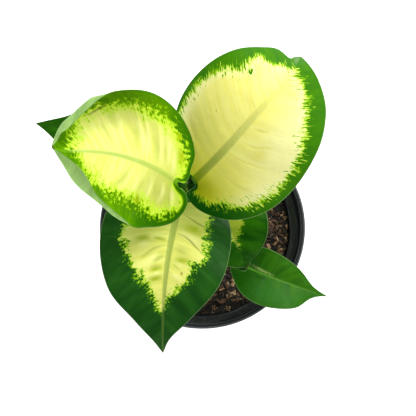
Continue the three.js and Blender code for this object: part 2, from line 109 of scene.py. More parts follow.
# Cane: a short ringed stem that leans a little and stands in a plain hole in the soil.
CANE_FOOT = (-6, 6, 66)
CANE_SOIL = (-6, 6, 106)
CANE_TOP = (-9, 12, 152)
CANE_RADIUS = 5.2
CANE_TOP_RADIUS = 4
CANE_SIDES = 72
SCAR_SPACING = 8
SCAR_HEIGHT = 0.5

# Leaves: a petiole with a clasping sheath, a midrib and a thin waved blade.
BLADE_THICKNESS = 0.8
MARGIN_THICKNESS = 0.36
VEIN_CROWDING = 1.9
VEIN_SWEEP = 1.5
WAVE_HEIGHT = 1
WAVES = 3.5
RIB_TIP_DEPTH = 0.3
RIB_TAPER = 0.6
RIB_ROOT = 8
SHEATH_THICKNESS = 2
SHEATH_LENGTH = 34
SHEATH_TAPER = 1.2
SHEATH_RISE = 2
PETIOLE_END = 3
PETIOLE_SIDES = 40
PETIOLE_STEPS = 96
GROOVE_DEPTH = 0.2
GROOVE_WIDTH = 0.6
TROUGH = 0.16  # how deep the midrib's groove is above, of its half width
FAR = 20.0  # stands for a distance where there is no cream, margin or midrib

# Each leaf as in the model: base is where the petiole meets the blade, heading and pitch are even
# steps along the midrib, and each half has a flat outline and a roll. band is the midrib's half
# width from base to tip. Looks are placed in percent along the margin and in percent of the half's
# width across it: cream is the edge of the pale part, veins are the main lateral veins along the
# margin, and lines are marks as (half width in millimetres, (along, across), ...). patches are soft
# marks as (along, across, size along, size across, strength), all in percent, and islands push the
# edge of the pale part out or in by as many millimetres as their last number. edge is how cream and
# green break into each other, in millimetres: lumps and blots are (size, reach), streaks are (width,
# length, reach), zone is (all green, all cream), dots and dashes are (width, length, reach,
# strength), rim is the green margin, and halo is (reach, strength) of the lime inside the cream.
LEAVES = [
    dict(
        name="leaf_upper_left", slot="leaf_pale", base=(-12.7, 2.8, 212), length=85,
        heading=(147.5, 169.5, 189.5, 215), pitch=(23, 30.5, 34.5, 83), fold=(-9, -9), wave=0.4,
        band=(1.5, 1.3, 1, 0.6, 0.3), quilt=-0.15, ridge=0.08, tip_brown=2.2, grid=(210, 78), gloss=0.03,
        rib_line=0, rib_ends=(0.98, 0.85), painted_glow=0.35, swell_shading_share=0.3,
        petiole=dict(node=147, via=((-9.5, 11.5, 163), (-11, 8.5, 188)), radius=2.3),
        edge=dict(
            lumps=(6, 1.8), streaks=(1.6, 6, 1.8), blots=(2.2, 3.4), zone=(-7.5, 5),
            dots=(1.3, 1.8, 8, 0.55), dashes=(1.3, 2, 9, 0.6), rim=2.2, halo=(7, 0.75),
        ),
        left=dict(
            outline=(
                (0, 0), (-2, 1), (-7.5, 2.5), (-11.5, 7), (-10.5, 19), (12.5, 36.5), (39.5, 43),
                (63.5, 33), (81.5, 22.5), (83.5, 6), (85, 0),
            ),
            roll=(-54, 16, 107, 122, 163), roll_from=0.52,
            cream=(
                (0, 90), (5, 83), (10, 75), (20, 74), (25, 71), (30, 61), (35, 54), (40, 48), (45, 44),
                (50, 44), (55, 45), (60, 46), (65, 48), (70, 45), (75, 40), (80, 25), (83, 10), (84, 2),
            ),
            veins=(9, 17.5, 27, 38, 46, 54, 64, 74, 86),
            lines=dict(
                bright=(
                    (1.2, (54.6, 9), (55, 22), (56, 36), (58, 43)),
                    (1.2, (49.4, 12), (48.6, 29), (49, 41)),
                    (1.2, (41, 11), (37, 26), (36, 46), (37.5, 63)), (1.2, (30, 13), (25, 31), (25, 55)),
                    (1.2, (17.4, 19), (16, 55), (18, 74)),
                ),
                dull=(
                    (1.8, (57.3, 14), (58, 28), (61, 43)), (1.3, (45.4, 19), (44.2, 33), (45, 44)),
                    (1.2, (35.5, 18), (31.8, 35), (32.5, 53)),
                ),
                olive_shade=((1.7, (44, 40), (39, 60)),),
            ),
        ),
        right=dict(
            outline=(
                (0, 0), (-2.5, 1), (-4, 5.5), (-2.5, 12), (-0.5, 21), (11.5, 33.5), (41.5, 42), (68, 50),
                (81.5, 27), (81.5, 10), (85, 0),
            ),
            roll=(-28, -7, 124, 232, 179), roll_from=0.26,
            cream=(
                (0, 30), (5, 36), (10, 40), (15, 42), (20, 52), (25, 56), (30, 64), (35, 69), (40, 70),
                (45, 67), (50, 67), (55, 60), (60, 52), (65, 51), (70, 50), (75, 48), (80, 30), (85, 12),
                (86, 2),
            ),
            veins=(9, 17, 24, 30, 34.5, 38.5, 45, 48.5, 60, 66, 75, 85),
            lines=dict(
                bright=(
                    (1.2, (66.5, 48), (65, 36), (64, 25), (64, 4)),
                    (1.2, (58.6, 55), (58.6, 38), (60.5, 22), (58, 3)),
                    (1.2, (49, 58), (49, 28), (50, 6)), (1.2, (44.2, 49), (44.7, 36), (47, 11)),
                    (1.2, (36.5, 60), (37.5, 35), (36.5, 5)), (1.2, (33.7, 65), (32.5, 48), (30, 12)),
                    (1.2, (29, 47), (22.3, 6)),
                ),
                dull=(
                    (0.9, (67.5, 36), (67, 22), (66.5, 7)), (1.7, (52.6, 40), (52.6, 28), (54, 10)),
                    (1.9, (41.4, 45), (40.7, 30), (41, 8)), (0.9, (35.2, 39), (32.8, 9)),
                ),
                olive_shade=((2.4, (25.6, 57), (20.6, 43), (18, 32)), (1.8, (29, 70), (24.8, 65))),
                crease=((0.5, (72, 50), (69, 48), (66, 50), (60, 58)),),
            ),
        ),
    ),
    dict(
        name="leaf_upper_right", slot="leaf_pale", base=(-4.7, 9.4, 190), length=108,
        heading=(33, 44, 50, 73.5), pitch=(45.5, 33.5, 14.5, -17.5, -48.5), fold=(12, 7), wave=0.8,
        band=(2.35, 2.25, 1.85, 0.95, 0.35), quilt=0.2, ridge=0.08, tip_brown=0, grid=(230, 84),
        gloss=0.04, rib_line=0, rib_ends=(0.95, 0.12), painted_glow=0.5, swell_shading_share=0.35,
        petiole=dict(node=139, via=((-3.5, 13, 152), (-4, 12.5, 172)), radius=2.4),
        edge=dict(
            lumps=(6, 1), streaks=(1, 7, 2.8), blots=(1.2, 0.9), zone=(-2.4, 1.8),
            dots=(0.8, 3.2, 12, 0.85), dashes=(0.8, 5, 6, 0.85), rim=1.6, halo=(2.4, 0.6),
        ),
        left=dict(
            outline=(
                (0, 0), (0, 3), (-6.5, 6.5), (-0.5, 19), (9.5, 28.5), (23.5, 35), (43.5, 39), (59, 37.5),
                (76, 31), (90.5, 22), (98.5, 14), (97, 5.5), (101.5, 3.5), (108, 0),
            ),
            roll=(-19, -21, -10, 8, 24), roll_from=0.1,
            cream=(
                (0, 60), (5, 70), (20, 80), (35, 93), (40, 92), (45, 88), (50, 90), (55, 87), (60, 85.5),
                (65, 80), (68, 72), (70, 74), (73, 82), (77, 82), (80, 70), (85, 51), (88, 42), (90, 22),
                (91.5, 2),
            ),
            veins=(10, 17, 24, 31, 37, 44, 50, 56, 62, 68, 73.5, 79, 86),
            islands=(
                (72.2, 61, 0.4, 2, -7), (71.8, 65, 0.3, 2.5, -6), (73.1, 64, 0.4, 2, -6),
                (72.4, 63, 1.4, 6, -5),
            ),
            patches=dict(
                olive_shade=((5, 30, 7, 40, 60),), bright=((36, 85, 16, 20, 90), (80, 40, 8, 30, 50)),
                dull=((46, 40, 5, 35, 30), (57, 55, 3, 20, 20), (96, 40, 2.5, 40, 100)),
            ),
            lines=dict(
                dull=((0.4, (34.5, 40), (33.5, 14)), (0.4, (71.7, 57), (71, 32), (70, 3))),
                crease=((0.35, (70.2, 0), (70.2, 1)), (0.3, (55.1, 45), (55.2, 46))),
                brown=((0.5, (47.1, 98), (47.1, 100)),),
            ),
        ),
        right=dict(
            outline=(
                (0, 0), (0, 3), (-9, 2.5), (-8, 13.5), (3, 28), (22.5, 40.5), (38.5, 43), (61, 39),
                (75.5, 29.5), (89.5, 14.5), (98, 6.5), (108, 0),
            ),
            roll=(-21, -18, -10, 2, 9), roll_from=0.1,
            cream=(
                (0, 0), (4, 25), (10, 55), (15, 60), (20, 65), (30, 67), (35, 79), (40, 83), (50, 87.5),
                (55, 85), (60, 85), (65, 81), (70, 76), (75, 73), (80, 69), (83, 61), (87, 43), (90, 19),
                (91.5, 2),
            ),
            veins=(7, 13, 20, 27, 34, 40, 46, 53, 59, 66, 72, 79, 86),
            patches=dict(
                olive_shade=((14, 42, 8, 28, 100), (25, 36, 5, 30, 50)),
                bright=((64, 60, 17, 35, 100), (42, 75, 10, 15, 70)),
                dull=((56.6, 40, 3, 10, 80), (45, 25, 6, 20, 50)),
            ),
            lines=dict(
                dull=(
                    (0.45, (35.5, 6), (39, 27), (41, 49), (43, 67)),
                    (0.45, (49.4, 6), (51, 26), (52, 45), (53.3, 62)),
                    (0.7, (57.3, 12), (58.6, 30), (60, 42), (61, 52)),
                    (0.7, (64.5, 11), (65.3, 26), (66, 36)),
                ),
            ),
        ),
    ),
    dict(
        name="leaf_front", slot="leaf_mixed", base=(-12.3, 2.7, 168), length=100.5,
        heading=(-101, -99, -94, -90.5), pitch=(45.5, 17, -21, -47), fold=(12, 7), wave=0.9,
        band=(1.7, 1.6, 1.15, 0.5, 0.22), quilt=0.55, ridge=0.05, tip_brown=1.4, grid=(220, 80),
        gloss=0.1, rib_line=0.4, rib_ends=(1.05, 0.98), painted_glow=0.1, swell_shading_share=0.6,
        petiole=dict(node=131, via=((-9.5, 4.5, 144), (-11.5, 3, 157)), radius=2.2),
        edge=dict(
            lumps=(5, 1.8), streaks=(1.4, 5, 1.6), blots=(1.4, 1.6), zone=(-2.8, 2.2),
            dots=(1, 2.6, 3, 0.7), dashes=(1, 2, 6, 0.6), rim=1, halo=(2.4, 0.5),
        ),
        left=dict(
            outline=(
                (0, 0), (0, 3), (-3, 9), (1, 24), (16, 31), (39, 33.5), (56.5, 29.5), (76, 15.5), (90, 4),
                (100.5, 0),
            ),
            roll=(-18, -19, -18, -2, 0), roll_from=0.1,
            cream=(
                (0, 60), (33, 60), (40, 57), (45, 56), (50, 60), (55, 65), (58, 60), (60, 52), (62, 47),
                (65, 51), (70, 55), (72, 42), (75, 31), (80, 14), (83, 3),
            ),
            veins=(10, 18, 26, 33, 40, 47, 53.5, 60, 66, 73, 80, 88),
            patches=dict(dull=((59.1, 22, 2.5, 12, 70), (45, 25, 7, 50, 70))),
            lines=dict(
                bright=(
                    (1.9, (47.9, 9), (50, 28), (51, 43), (52.6, 51)), (1.5, (64.3, 16), (65, 35)),
                    (1.2, (70, 12), (70, 40)),
                ),
                dull=((0.35, (66, 10), (66.7, 21), (66.7, 31)),),
                olive_shade=(
                    (2.8, (43.4, 16), (44.2, 27), (44, 39), (43.7, 55)),
                    (1.9, (63.5, 11), (63.3, 23), (62, 36), (60.5, 45)),
                ),
                crease=(
                    (0.35, (33, 10), (35, 16), (39, 37), (40, 50), (40.7, 62)),
                    (0.35, (50.6, 9), (51, 21), (52, 32), (53.3, 43), (55, 63)),
                ),
                brown=((0.5, (67, 35), (68.2, 36)),),
            ),
        ),
        right=dict(
            outline=(
                (0, 0), (0, 3), (-3, 8.5), (1.5, 27), (14.5, 37), (37.5, 39.5), (62, 31), (78.5, 16),
                (91, 5.5), (100.5, 0),
            ),
            roll=(-19, -19, -15, -4, -2), roll_from=0.1,
            cream=(
                (0, 60), (45, 67), (50, 71), (55, 65), (60, 62.5), (65, 56), (70, 49), (72, 39), (75, 35),
                (80, 28), (83, 22), (84, 2),
            ),
            veins=(10, 18, 26, 34, 42, 50, 56, 62, 68, 74, 81, 88),
            patches=dict(dull=((46, 25, 7, 50, 70),)),
            lines=dict(
                bright=(
                    (1.8, (55.6, 50), (56.8, 30)), (1.5, (64.8, 36), (61.3, 18)), (1, (70, 30), (70, 10)),
                ),
                dull=(
                    (0.7, (62.3, 46), (59.8, 28), (58.3, 11), (57.8, 5)),
                    (1.2, (65.5, 27), (63.8, 14), (63.3, 4)), (0.4, (52.4, 15), (50.9, 5)),
                ),
                olive_shade=(
                    (1.8, (53.1, 54), (53.6, 41), (54.1, 29)), (0.9, (54.1, 29), (54.8, 17), (55.6, 7)),
                    (1.5, (68.7, 34), (68.2, 23), (68.5, 6)), (1.6, (71.5, 40), (72, 24), (72.2, 6)),
                ),
            ),
        ),
    ),
    dict(
        name="leaf_lower_right", slot="leaf_dark", base=(3, 10, 147), length=55,
        heading=(-49, -61, -64.5, -58.5), pitch=(31.5, 12.5, -27, -58.5), fold=(12, 5), wave=0.8,
        band=(1.3, 1.1, 0.8, 0.5, 0.3), quilt=0.25, ridge=0.1, tip_brown=1.2, grid=(150, 56), gloss=0.06,
        rib_line=0, rib_ends=(0.9, 0.6), painted_glow=0, swell_shading_share=0.4,
        petiole=dict(node=123, via=((-0.5, 9, 134),), radius=2),
        edge=dict(
            lumps=(4, 1.5), streaks=(1, 4, 1.5), blots=(1.4, 1), zone=(-2, 1.5), dots=(1, 2, 2.5, 0.6),
            dashes=(1, 2, 2, 0.5), rim=1, halo=(2, 0.3),
        ),
        left=dict(
            outline=(
                (0, 0), (0, 3), (-1.5, 6.5), (4, 17), (14, 23), (26.5, 24), (39.5, 18), (47.5, 11),
                (51, 4), (55, 0),
            ),
            roll=(-20, -14, -13, -1, -6), roll_from=0.1,
            cream=((0, 30), (55, 40), (60, 44), (65, 42), (70, 27), (75, 17), (80, 7), (83, 2)),
            veins=(12, 24, 36, 48, 60, 72, 85), patches=dict(olive_shade=((69, 15, 6, 30, 50),)),
        ),
        right=dict(
            outline=(
                (0, 0), (0, 3), (0, 6), (5.5, 14.5), (13, 23), (27, 23.5), (38.5, 19.5), (47, 9),
                (51.5, 4), (55, 0),
            ),
            roll=(-21, -18, -10, -1, 1), roll_from=0.1,
            cream=((0, 30), (60, 25), (70, 16), (78, 5), (80, 2)), veins=(12, 24, 36, 48, 60, 72, 85),
        ),
    ),
    dict(
        name="leaf_back_left", slot="leaf_dark", base=(-16, 18, 150), length=97,
        heading=(147, 158, 157, 164), pitch=(40, 15, -10, -15), fold=(12, 6), wave=0.8,
        band=(1.8, 1.5, 1.1, 0.6, 0.3), quilt=0.3, ridge=0.12, tip_brown=1.6, grid=(200, 64), gloss=0.06,
        rib_line=0, rib_ends=(0.95, 0.7), painted_glow=0, swell_shading_share=0.4,
        petiole=dict(node=115, via=((-12.5, 12, 130),), radius=2.1),
        edge=dict(
            lumps=(5, 1.5), streaks=(1.2, 5, 2), blots=(1.4, 1), zone=(-2, 1.5), dots=(1, 2, 3, 0.6),
            dashes=(1, 2.5, 3, 0.5), rim=1, halo=(2, 0.3),
        ),
        left=dict(
            outline=(
                (0, 0), (0, 3), (-5, 8), (3, 20), (22, 27), (46, 26), (66, 17), (80, 8), (90, 3), (97, 0),
            ),
            roll=(-20, -15, -12, -5, 0), roll_from=0.1,
            cream=((0, 40), (30, 45), (45, 40), (55, 25), (62, 8), (66, 2)),
            veins=(10, 20, 29, 38, 47, 56, 66, 78, 88),
        ),
        right=dict(
            outline=(
                (0, 0), (0, 3), (-5, 8), (3, 20), (22, 28), (46, 28), (66, 19), (80, 8), (90, 3), (97, 0),
            ),
            roll=(-20, -15, -12, -5, 0), roll_from=0.1,
            cream=((0, 40), (30, 40), (45, 42), (55, 22), (60, 10), (64, 2)),
            veins=(10, 20, 29, 38, 47, 56, 66, 78, 88),
        ),
    ),
    dict(
        name="leaf_small_right", slot="leaf_dark", base=(28, -29, 127), length=54,
        heading=(-26, -21, -16, -13), pitch=(18.5, 0.5, -19, -21.5), fold=(15, 7), wave=0.6,
        band=(0.7, 0.6, 0.45, 0.3, 0.2), quilt=0.4, ridge=0.14, tip_brown=1.8, grid=(150, 48), gloss=0.14,
        rib_line=0, rib_ends=(0.95, 0.5), painted_glow=0, swell_shading_share=0,
        petiole=dict(node=107.5, via=((1, -1, 115), (14, -16, 122)), radius=1.7),
        edge=dict(
            lumps=(4, 1), streaks=(1.4, 1.6, 1), blots=(0.8, 1), zone=(-2, 1.5), dots=(1, 2, 2, 0.6),
            dashes=(1, 2, 2, 0.5), rim=1, halo=(2, 0.3),
        ),
        left=dict(
            outline=(
                (0, 0), (0.5, 3), (-3.5, 7), (1.5, 14), (12.5, 15), (24.5, 12.5), (34, 8.5), (43, 3),
                (49, 1), (54, 0),
            ),
            roll=(-17, -11, -6, -2, 0), roll_from=0.1, cream=((0, 0),),
            veins=(12, 25, 37, 49, 60, 71, 83),
            lines=dict(fleck=((0.7, (20, 20), (34, 12), (44, 10), (54, 9)),)),
        ),
        right=dict(
            outline=(
                (0, 0), (-0.5, 3), (-10, 4), (-4, 11), (7, 18), (20.5, 18.5), (35, 13), (42.5, 5),
                (47.5, 2), (54, 0),
            ),
            roll=(-15, -8, -8, -3, -4), roll_from=0.1, cream=((0, 0),),
            veins=(12, 25, 37, 49, 60, 71, 83), patches=dict(dull=((45, 60, 35, 50, 90),)),
            lines=dict(crease=((0.7, (28, 20), (38, 20), (50, 16)),)),
        ),
    ),
]

# Screen colours, one hex code for each leaf in the order of LEAVES.
COLOURS = {
    "cream": "fefe96 fffc92 eaec74 b8c04c dee064 c4de82",
    "cream_warm": "f0f770 fcf67c d8de62 a0b032 bac63c 96b446",
    "swell_shading": "d0d964 f4ec72 fafc96 bec846 bec846 64961e",
    "vein": "ffffa5 ffffc2 ffffa6 d6dc6e d6dc6e 64961e",
    "base": "ced862 d4d62e c6d05c aab632 aab43c 64961e",
    "dull": "ced664 e8e068 aaba4e aab63c aab43c 64961e",
    "olive_shade": "a0b800 acb400 a4b822 789200 648200 466e02",
    "lime": "d2f83c c8f02c a8d624 6e960a 82b00c 64961e",
    "bright": "86bc00 70b404 4a8a04 367802 387406 407c0a",
    "green": "5e9600 468806 245e14 286400 286200 387602",
    "green_deep": "467e00 387a0e 12480a 0c4200 184e00 225c00",
    "green_base": "2e6a00 0a5004 0c4204 063200 083800 185000",
    "painted_sheen": "467e14 749262 326c2c 225c1e 286214 307024",
    "rib": "c2d86a d0d670 a8ba54 96a53c 78963c 609428",
    "rib_base": "bed45a 8ca016 a0b44c 96a53c 78963c 548c1e",
    "rib_green": "6ea814 60961e 326a24 285a14 326818 548c24",
    "under": "9ec670 96be6e 78a454 608c46 64924a 608c46",
    "under_deep": "84ac5c 76a654 5c8c3e 467032 4c7636 467032",
    "line": "96ba6e bed796 96ba6e 96ba6e 788c50 96ba6e",
    "crease": "787828 786e28 788c3c 5c5428 5c5428 1a4c0a",
    "tip": "505c28 96501e 6e321e 6e5432 6e5432 6e5432",
}

# ---------------------------------------------------------------- numbers and curves


def lerp(a, b, share):
    return a + (b - a) * share


def smooth_step(low, high, x):
    share = np.clip((x - low) / (high - low), 0, 1)
    return share * share * (3 - 2 * share)


def smooth_keys(values, x):
    """A smooth curve through values at even steps, read at x from 0 to 1."""
    values = np.asarray(values, float)
    last = len(values) - 1
    place = np.clip(np.asarray(x, float), 0, 1) * last
    at = np.minimum(np.floor(place).astype(int), last)
    w = place - at
    before, here = values[np.maximum(at - 1, 0)], values[at]
    after, beyond = values[np.minimum(at + 1, last)], values[np.minimum(at + 2, last)]
    start, end = (after - before) / 2, (beyond - here) / 2
    cubic = 2 * here - 2 * after + start + end
    square = -3 * here + 3 * after - 2 * start - end
    return ((cubic * w + square) * w + start) * w + here


def smooth_path(points, steps, samples=60):
    """Points at even steps of length along a centripetal Catmull-Rom curve, and its length."""
    points = np.asarray(points, float)
    before, after = 2 * points[0] - points[1], 2 * points[-1] - points[-2]
    chain = np.vstack([before, points, after])
    curve = []
    for p0, p1, p2, p3 in zip(chain, chain[1:], chain[2:], chain[3:]):
        d0, d1, d2 = (math.sqrt(np.linalg.norm(b - a)) for a, b in ((p0, p1), (p1, p2), (p2, p3)))
        start = ((p1 - p0) / d0 - (p2 - p0) / (d0 + d1) + (p2 - p1) / d1) * d1
        end = ((p2 - p1) / d1 - (p3 - p1) / (d1 + d2) + (p3 - p2) / d2) * d1
        w = np.linspace(0, 1, samples, endpoint=False)[:, None]
        cubic, square = 2 * p1 - 2 * p2 + start + end, -3 * p1 + 3 * p2 - 2 * start - end
        curve.append(((cubic * w + square) * w + start) * w + p1)
    curve = np.vstack(curve + [points[-1:]])
    lengths = np.concatenate([[0], np.cumsum(np.linalg.norm(np.diff(curve, axis=0), axis=1))])
    even = np.linspace(0, lengths[-1], steps + 1)
    return np.stack([np.interp(even, lengths, axis) for axis in curve.T], -1), lengths[-1]


def lattice(x, y, z, seed):
    """A repeatable value from -1 to 1 at each whole-number point."""
    with np.errstate(over="ignore"):
        mixed = (x * 374761393 + y * 668265263 + z * 2147483629 + seed * 1274126177).astype(np.uint32)
        mixed = (mixed ^ (mixed >> 13)) * np.uint32(1274126177)
        return (mixed ^ (mixed >> 16)) / 2147483647.5 - 1


def noise(points, size, seed):
    """Smooth repeatable noise from -1 to 1 over points of two or three numbers."""
    points = np.asarray(points, float) / size
    if points.shape[-1] == 2:
        points = np.concatenate([points, np.zeros(points.shape[:-1] + (1,))], -1)
    cell = np.floor(points).astype(np.int64)
    share = points - cell
    share = share * share * (3 - 2 * share)
    total = 0
    for corner in np.ndindex(2, 2, 2):
        weight = np.prod(np.where(corner, share, 1 - share), axis=-1)
        total = total + weight * lattice(*np.moveaxis(cell + corner, -1, 0), seed)
    return total


def unit(vectors):
    return vectors / np.maximum(np.linalg.norm(vectors, axis=-1, keepdims=True), 1e-12)


def nearest(points, others, chunk=4000):
    """The distance from each point to the nearest of the others, and which one it is."""
    distance, which = [], []
    for start in range(0, len(points), chunk):
        part = points[start:start + chunk]
        gaps = ((part[:, None] - others[None]) ** 2).sum(-1)
        which.append(gaps.argmin(1))
        distance.append(np.sqrt(gaps.min(1)))
    return np.concatenate(distance), np.concatenate(which)


# ---------------------------------------------------------------- meshes


def make_piece(name, points, faces, material, slot, replaced=None, attributes=None):
    """A smooth mesh of points in millimetres, riding on the root."""
    mesh = bpy.data.meshes.new(name)
    mesh.from_pydata((np.asarray(points) * MM).tolist(), [], faces)
    for key, values in (attributes or {}).items():
        values = np.asarray(values, np.float32)
        kind, field = ("FLOAT", "value") if values.ndim == 1 else ("FLOAT_VECTOR", "vector")
        mesh.attributes.new(key, kind, "POINT").data.foreach_set(field, values.ravel())
    mesh.validate()
    mesh.shade_smooth()
    mesh.materials.append(material)
    piece = bpy.data.objects.new(name, mesh)
    bpy.context.scene.collection.objects.link(piece)
    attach(piece, "root")
    if replaced:
        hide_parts(replaced)
    return piece


def cut(body, tools):
    """The points and faces of a closed mesh after others are cut from it."""
    made = []
    for points, faces in (body, *tools):
        mesh = bpy.data.meshes.new("shape")
        mesh.from_pydata(np.asarray(points).tolist(), [], faces)
        made.append(bpy.data.objects.new("shape", mesh))
        bpy.context.scene.collection.objects.link(made[-1])
    for tool in made[1:]:
        change = made[0].modifiers.new("cut", "BOOLEAN")
        change.object, change.operation, change.solver = tool, "DIFFERENCE", "MANIFOLD"
    shaped = made[0].evaluated_get(bpy.context.evaluated_depsgraph_get()).to_mesh()
    points = np.array([v.co for v in shaped.vertices], float).reshape(-1, 3)
    faces = [tuple(face.vertices) for face in shaped.polygons]
    for item in made:
        mesh = item.data
        bpy.data.objects.remove(item)
        bpy.data.meshes.remove(mesh)
    return points, faces


def tube(rings):
    """Points and faces of a closed sweep through rings of shape (stations, sides, 3)."""
    stations, sides, _ = rings.shape
    points = np.vstack([rings.reshape(-1, 3), rings[0].mean(0), rings[-1].mean(0)])
    first, last = stations * sides, stations * sides + 1
    top = (stations - 1) * sides
    faces = []
    for k in range(sides):
        after = (k + 1) % sides
        faces.append((first, after, k))
        faces.append((last, top + k, top + after))
        for row in range(0, top, sides):
            faces.append((row + k, row + after, row + sides + after, row + sides + k))
    return points, faces


def angles_round(sides):
    return np.arange(sides) / sides * FULL_TURN


def circle(sides):
    angle = angles_round(sides)
    return np.stack([np.cos(angle), np.sin(angle)], -1)


def joined(parts):
    """The points and faces of several closed parts as one."""
    faces, count = [], 0
    for points, part_faces in parts:
        faces.extend(tuple(k + count for k in face) for face in part_faces)
        count += len(points)
    return np.vstack([points for points, _ in parts]), faces


def lathe(profile, sides):
    """Points and faces of a closed turned shape. The profile runs from axis to axis as (radius, height)."""
    profile = np.asarray(profile, float)
    around = circle(sides)
    rings = np.zeros((len(profile) - 2, sides, 3))
    rings[:, :, :2] = profile[1:-1, 0, None, None] * around
    rings[:, :, 2] = profile[1:-1, 1, None]
    points, faces = tube(rings)
    points[-2:] = [[0, 0, profile[0, 1]], [0, 0, profile[-1, 1]]]
    return points, faces


# ---------------------------------------------------------------- materials


def paint(code):
    """A screen colour in hex as the linear colour of a shader."""
    share = np.array(list(bytes.fromhex(code))) / 255
    return tuple(np.where(share <= 0.04045, share / 12.92, ((share + 0.055) / 1.055) ** 2.4)) + (1,)


class Shader:
    """Short calls that build the nodes of one material."""

    def __init__(self, name):
        self.material = bpy.data.materials.new(name)
        self.material.use_nodes = True
        self.tree = self.material.node_tree
        self.surface = self.tree.nodes["Principled BSDF"]

    def node(self, kind, *values, **settings):
        made = self.tree.nodes.new("ShaderNode" + kind)
        for key, value in settings.items():
            setattr(made, key, value)
        for socket, value in zip(made.inputs, values):
            self.plug(socket, value)
        return made

    def plug(self, socket, value):
        if isinstance(value, bpy.types.NodeSocket):
            self.tree.links.new(value, socket)
        elif value is not None:
            socket.default_value = value

    def where(self):
        return self.node("TexCoord").outputs["Object"]

    def finish(self, **values):
        for key, value in values.items():
            self.plug(self.surface.inputs[key.replace("_", " ")], value)
        return self.material

    def attribute(self, name, output="Fac"):
        return self.node("Attribute", attribute_name=name).outputs[output]

    def math(self, operation, *values):
        return self.node("Math", *values, operation=operation).outputs[0]

    def add(self, a, b):
        return self.math("ADD", a, b)

    def times(self, a, b):
        return self.math("MULTIPLY", a, b)

    def ramp(self, value, low, high, start=0.0, end=1.0):
        """A smooth step of value from low to high, as a number from start to end."""
        made = self.node("MapRange", value, low, high, start, end, interpolation_type="SMOOTHSTEP")
        return made.outputs[0]

    def blend(self, share, a, b):
        made = self.node("Mix", data_type="RGBA")
        for socket, value in zip((made.inputs[0], made.inputs[6], made.inputs[7]), (share, a, b)):
            self.plug(socket, value)
        return made.outputs[2]

    def layers(self, colour, *others):
        """A colour with others laid over it in turn, each as (share, colour)."""
        for share, other in others:
            colour = self.blend(share, colour, other)
        return colour

    def stretched(self, vector, x, y, z=1.0):
        made = self.node("VectorMath", vector, (x, y, z), operation="MULTIPLY")
        return made.outputs[0]

    def named(self, kind, **values):
        """The first output of a node whose inputs are plugged by name."""
        made = self.node(kind)
        for key, value in values.items():
            self.plug(made.inputs[key], value)
        return made.outputs[0]

    def noise(self, vector, scale, detail=2.0, rough=0.5):
        return self.named("TexNoise", Vector=vector, Scale=scale, Detail=detail, Roughness=rough)

    def bump(self, height, distance, strength=1.0):
        return self.named("Bump", Height=height, Distance=distance, Strength=strength)


NOISE_GAIN = 5.0  # brings a noise texture's usual swing from the middle up to about one
MARK_FADE = 0.2  # how far the noise of dots and dashes is shifted where the last of them end
DOT_STEP = (0.5, 0.38)
DASH_STEP = (0.52, 0.64)
# Dark green for the crown: painted shade where the leaf bases and petioles bunch together.
CROWN_SHADE_GREEN = paint("103c08")


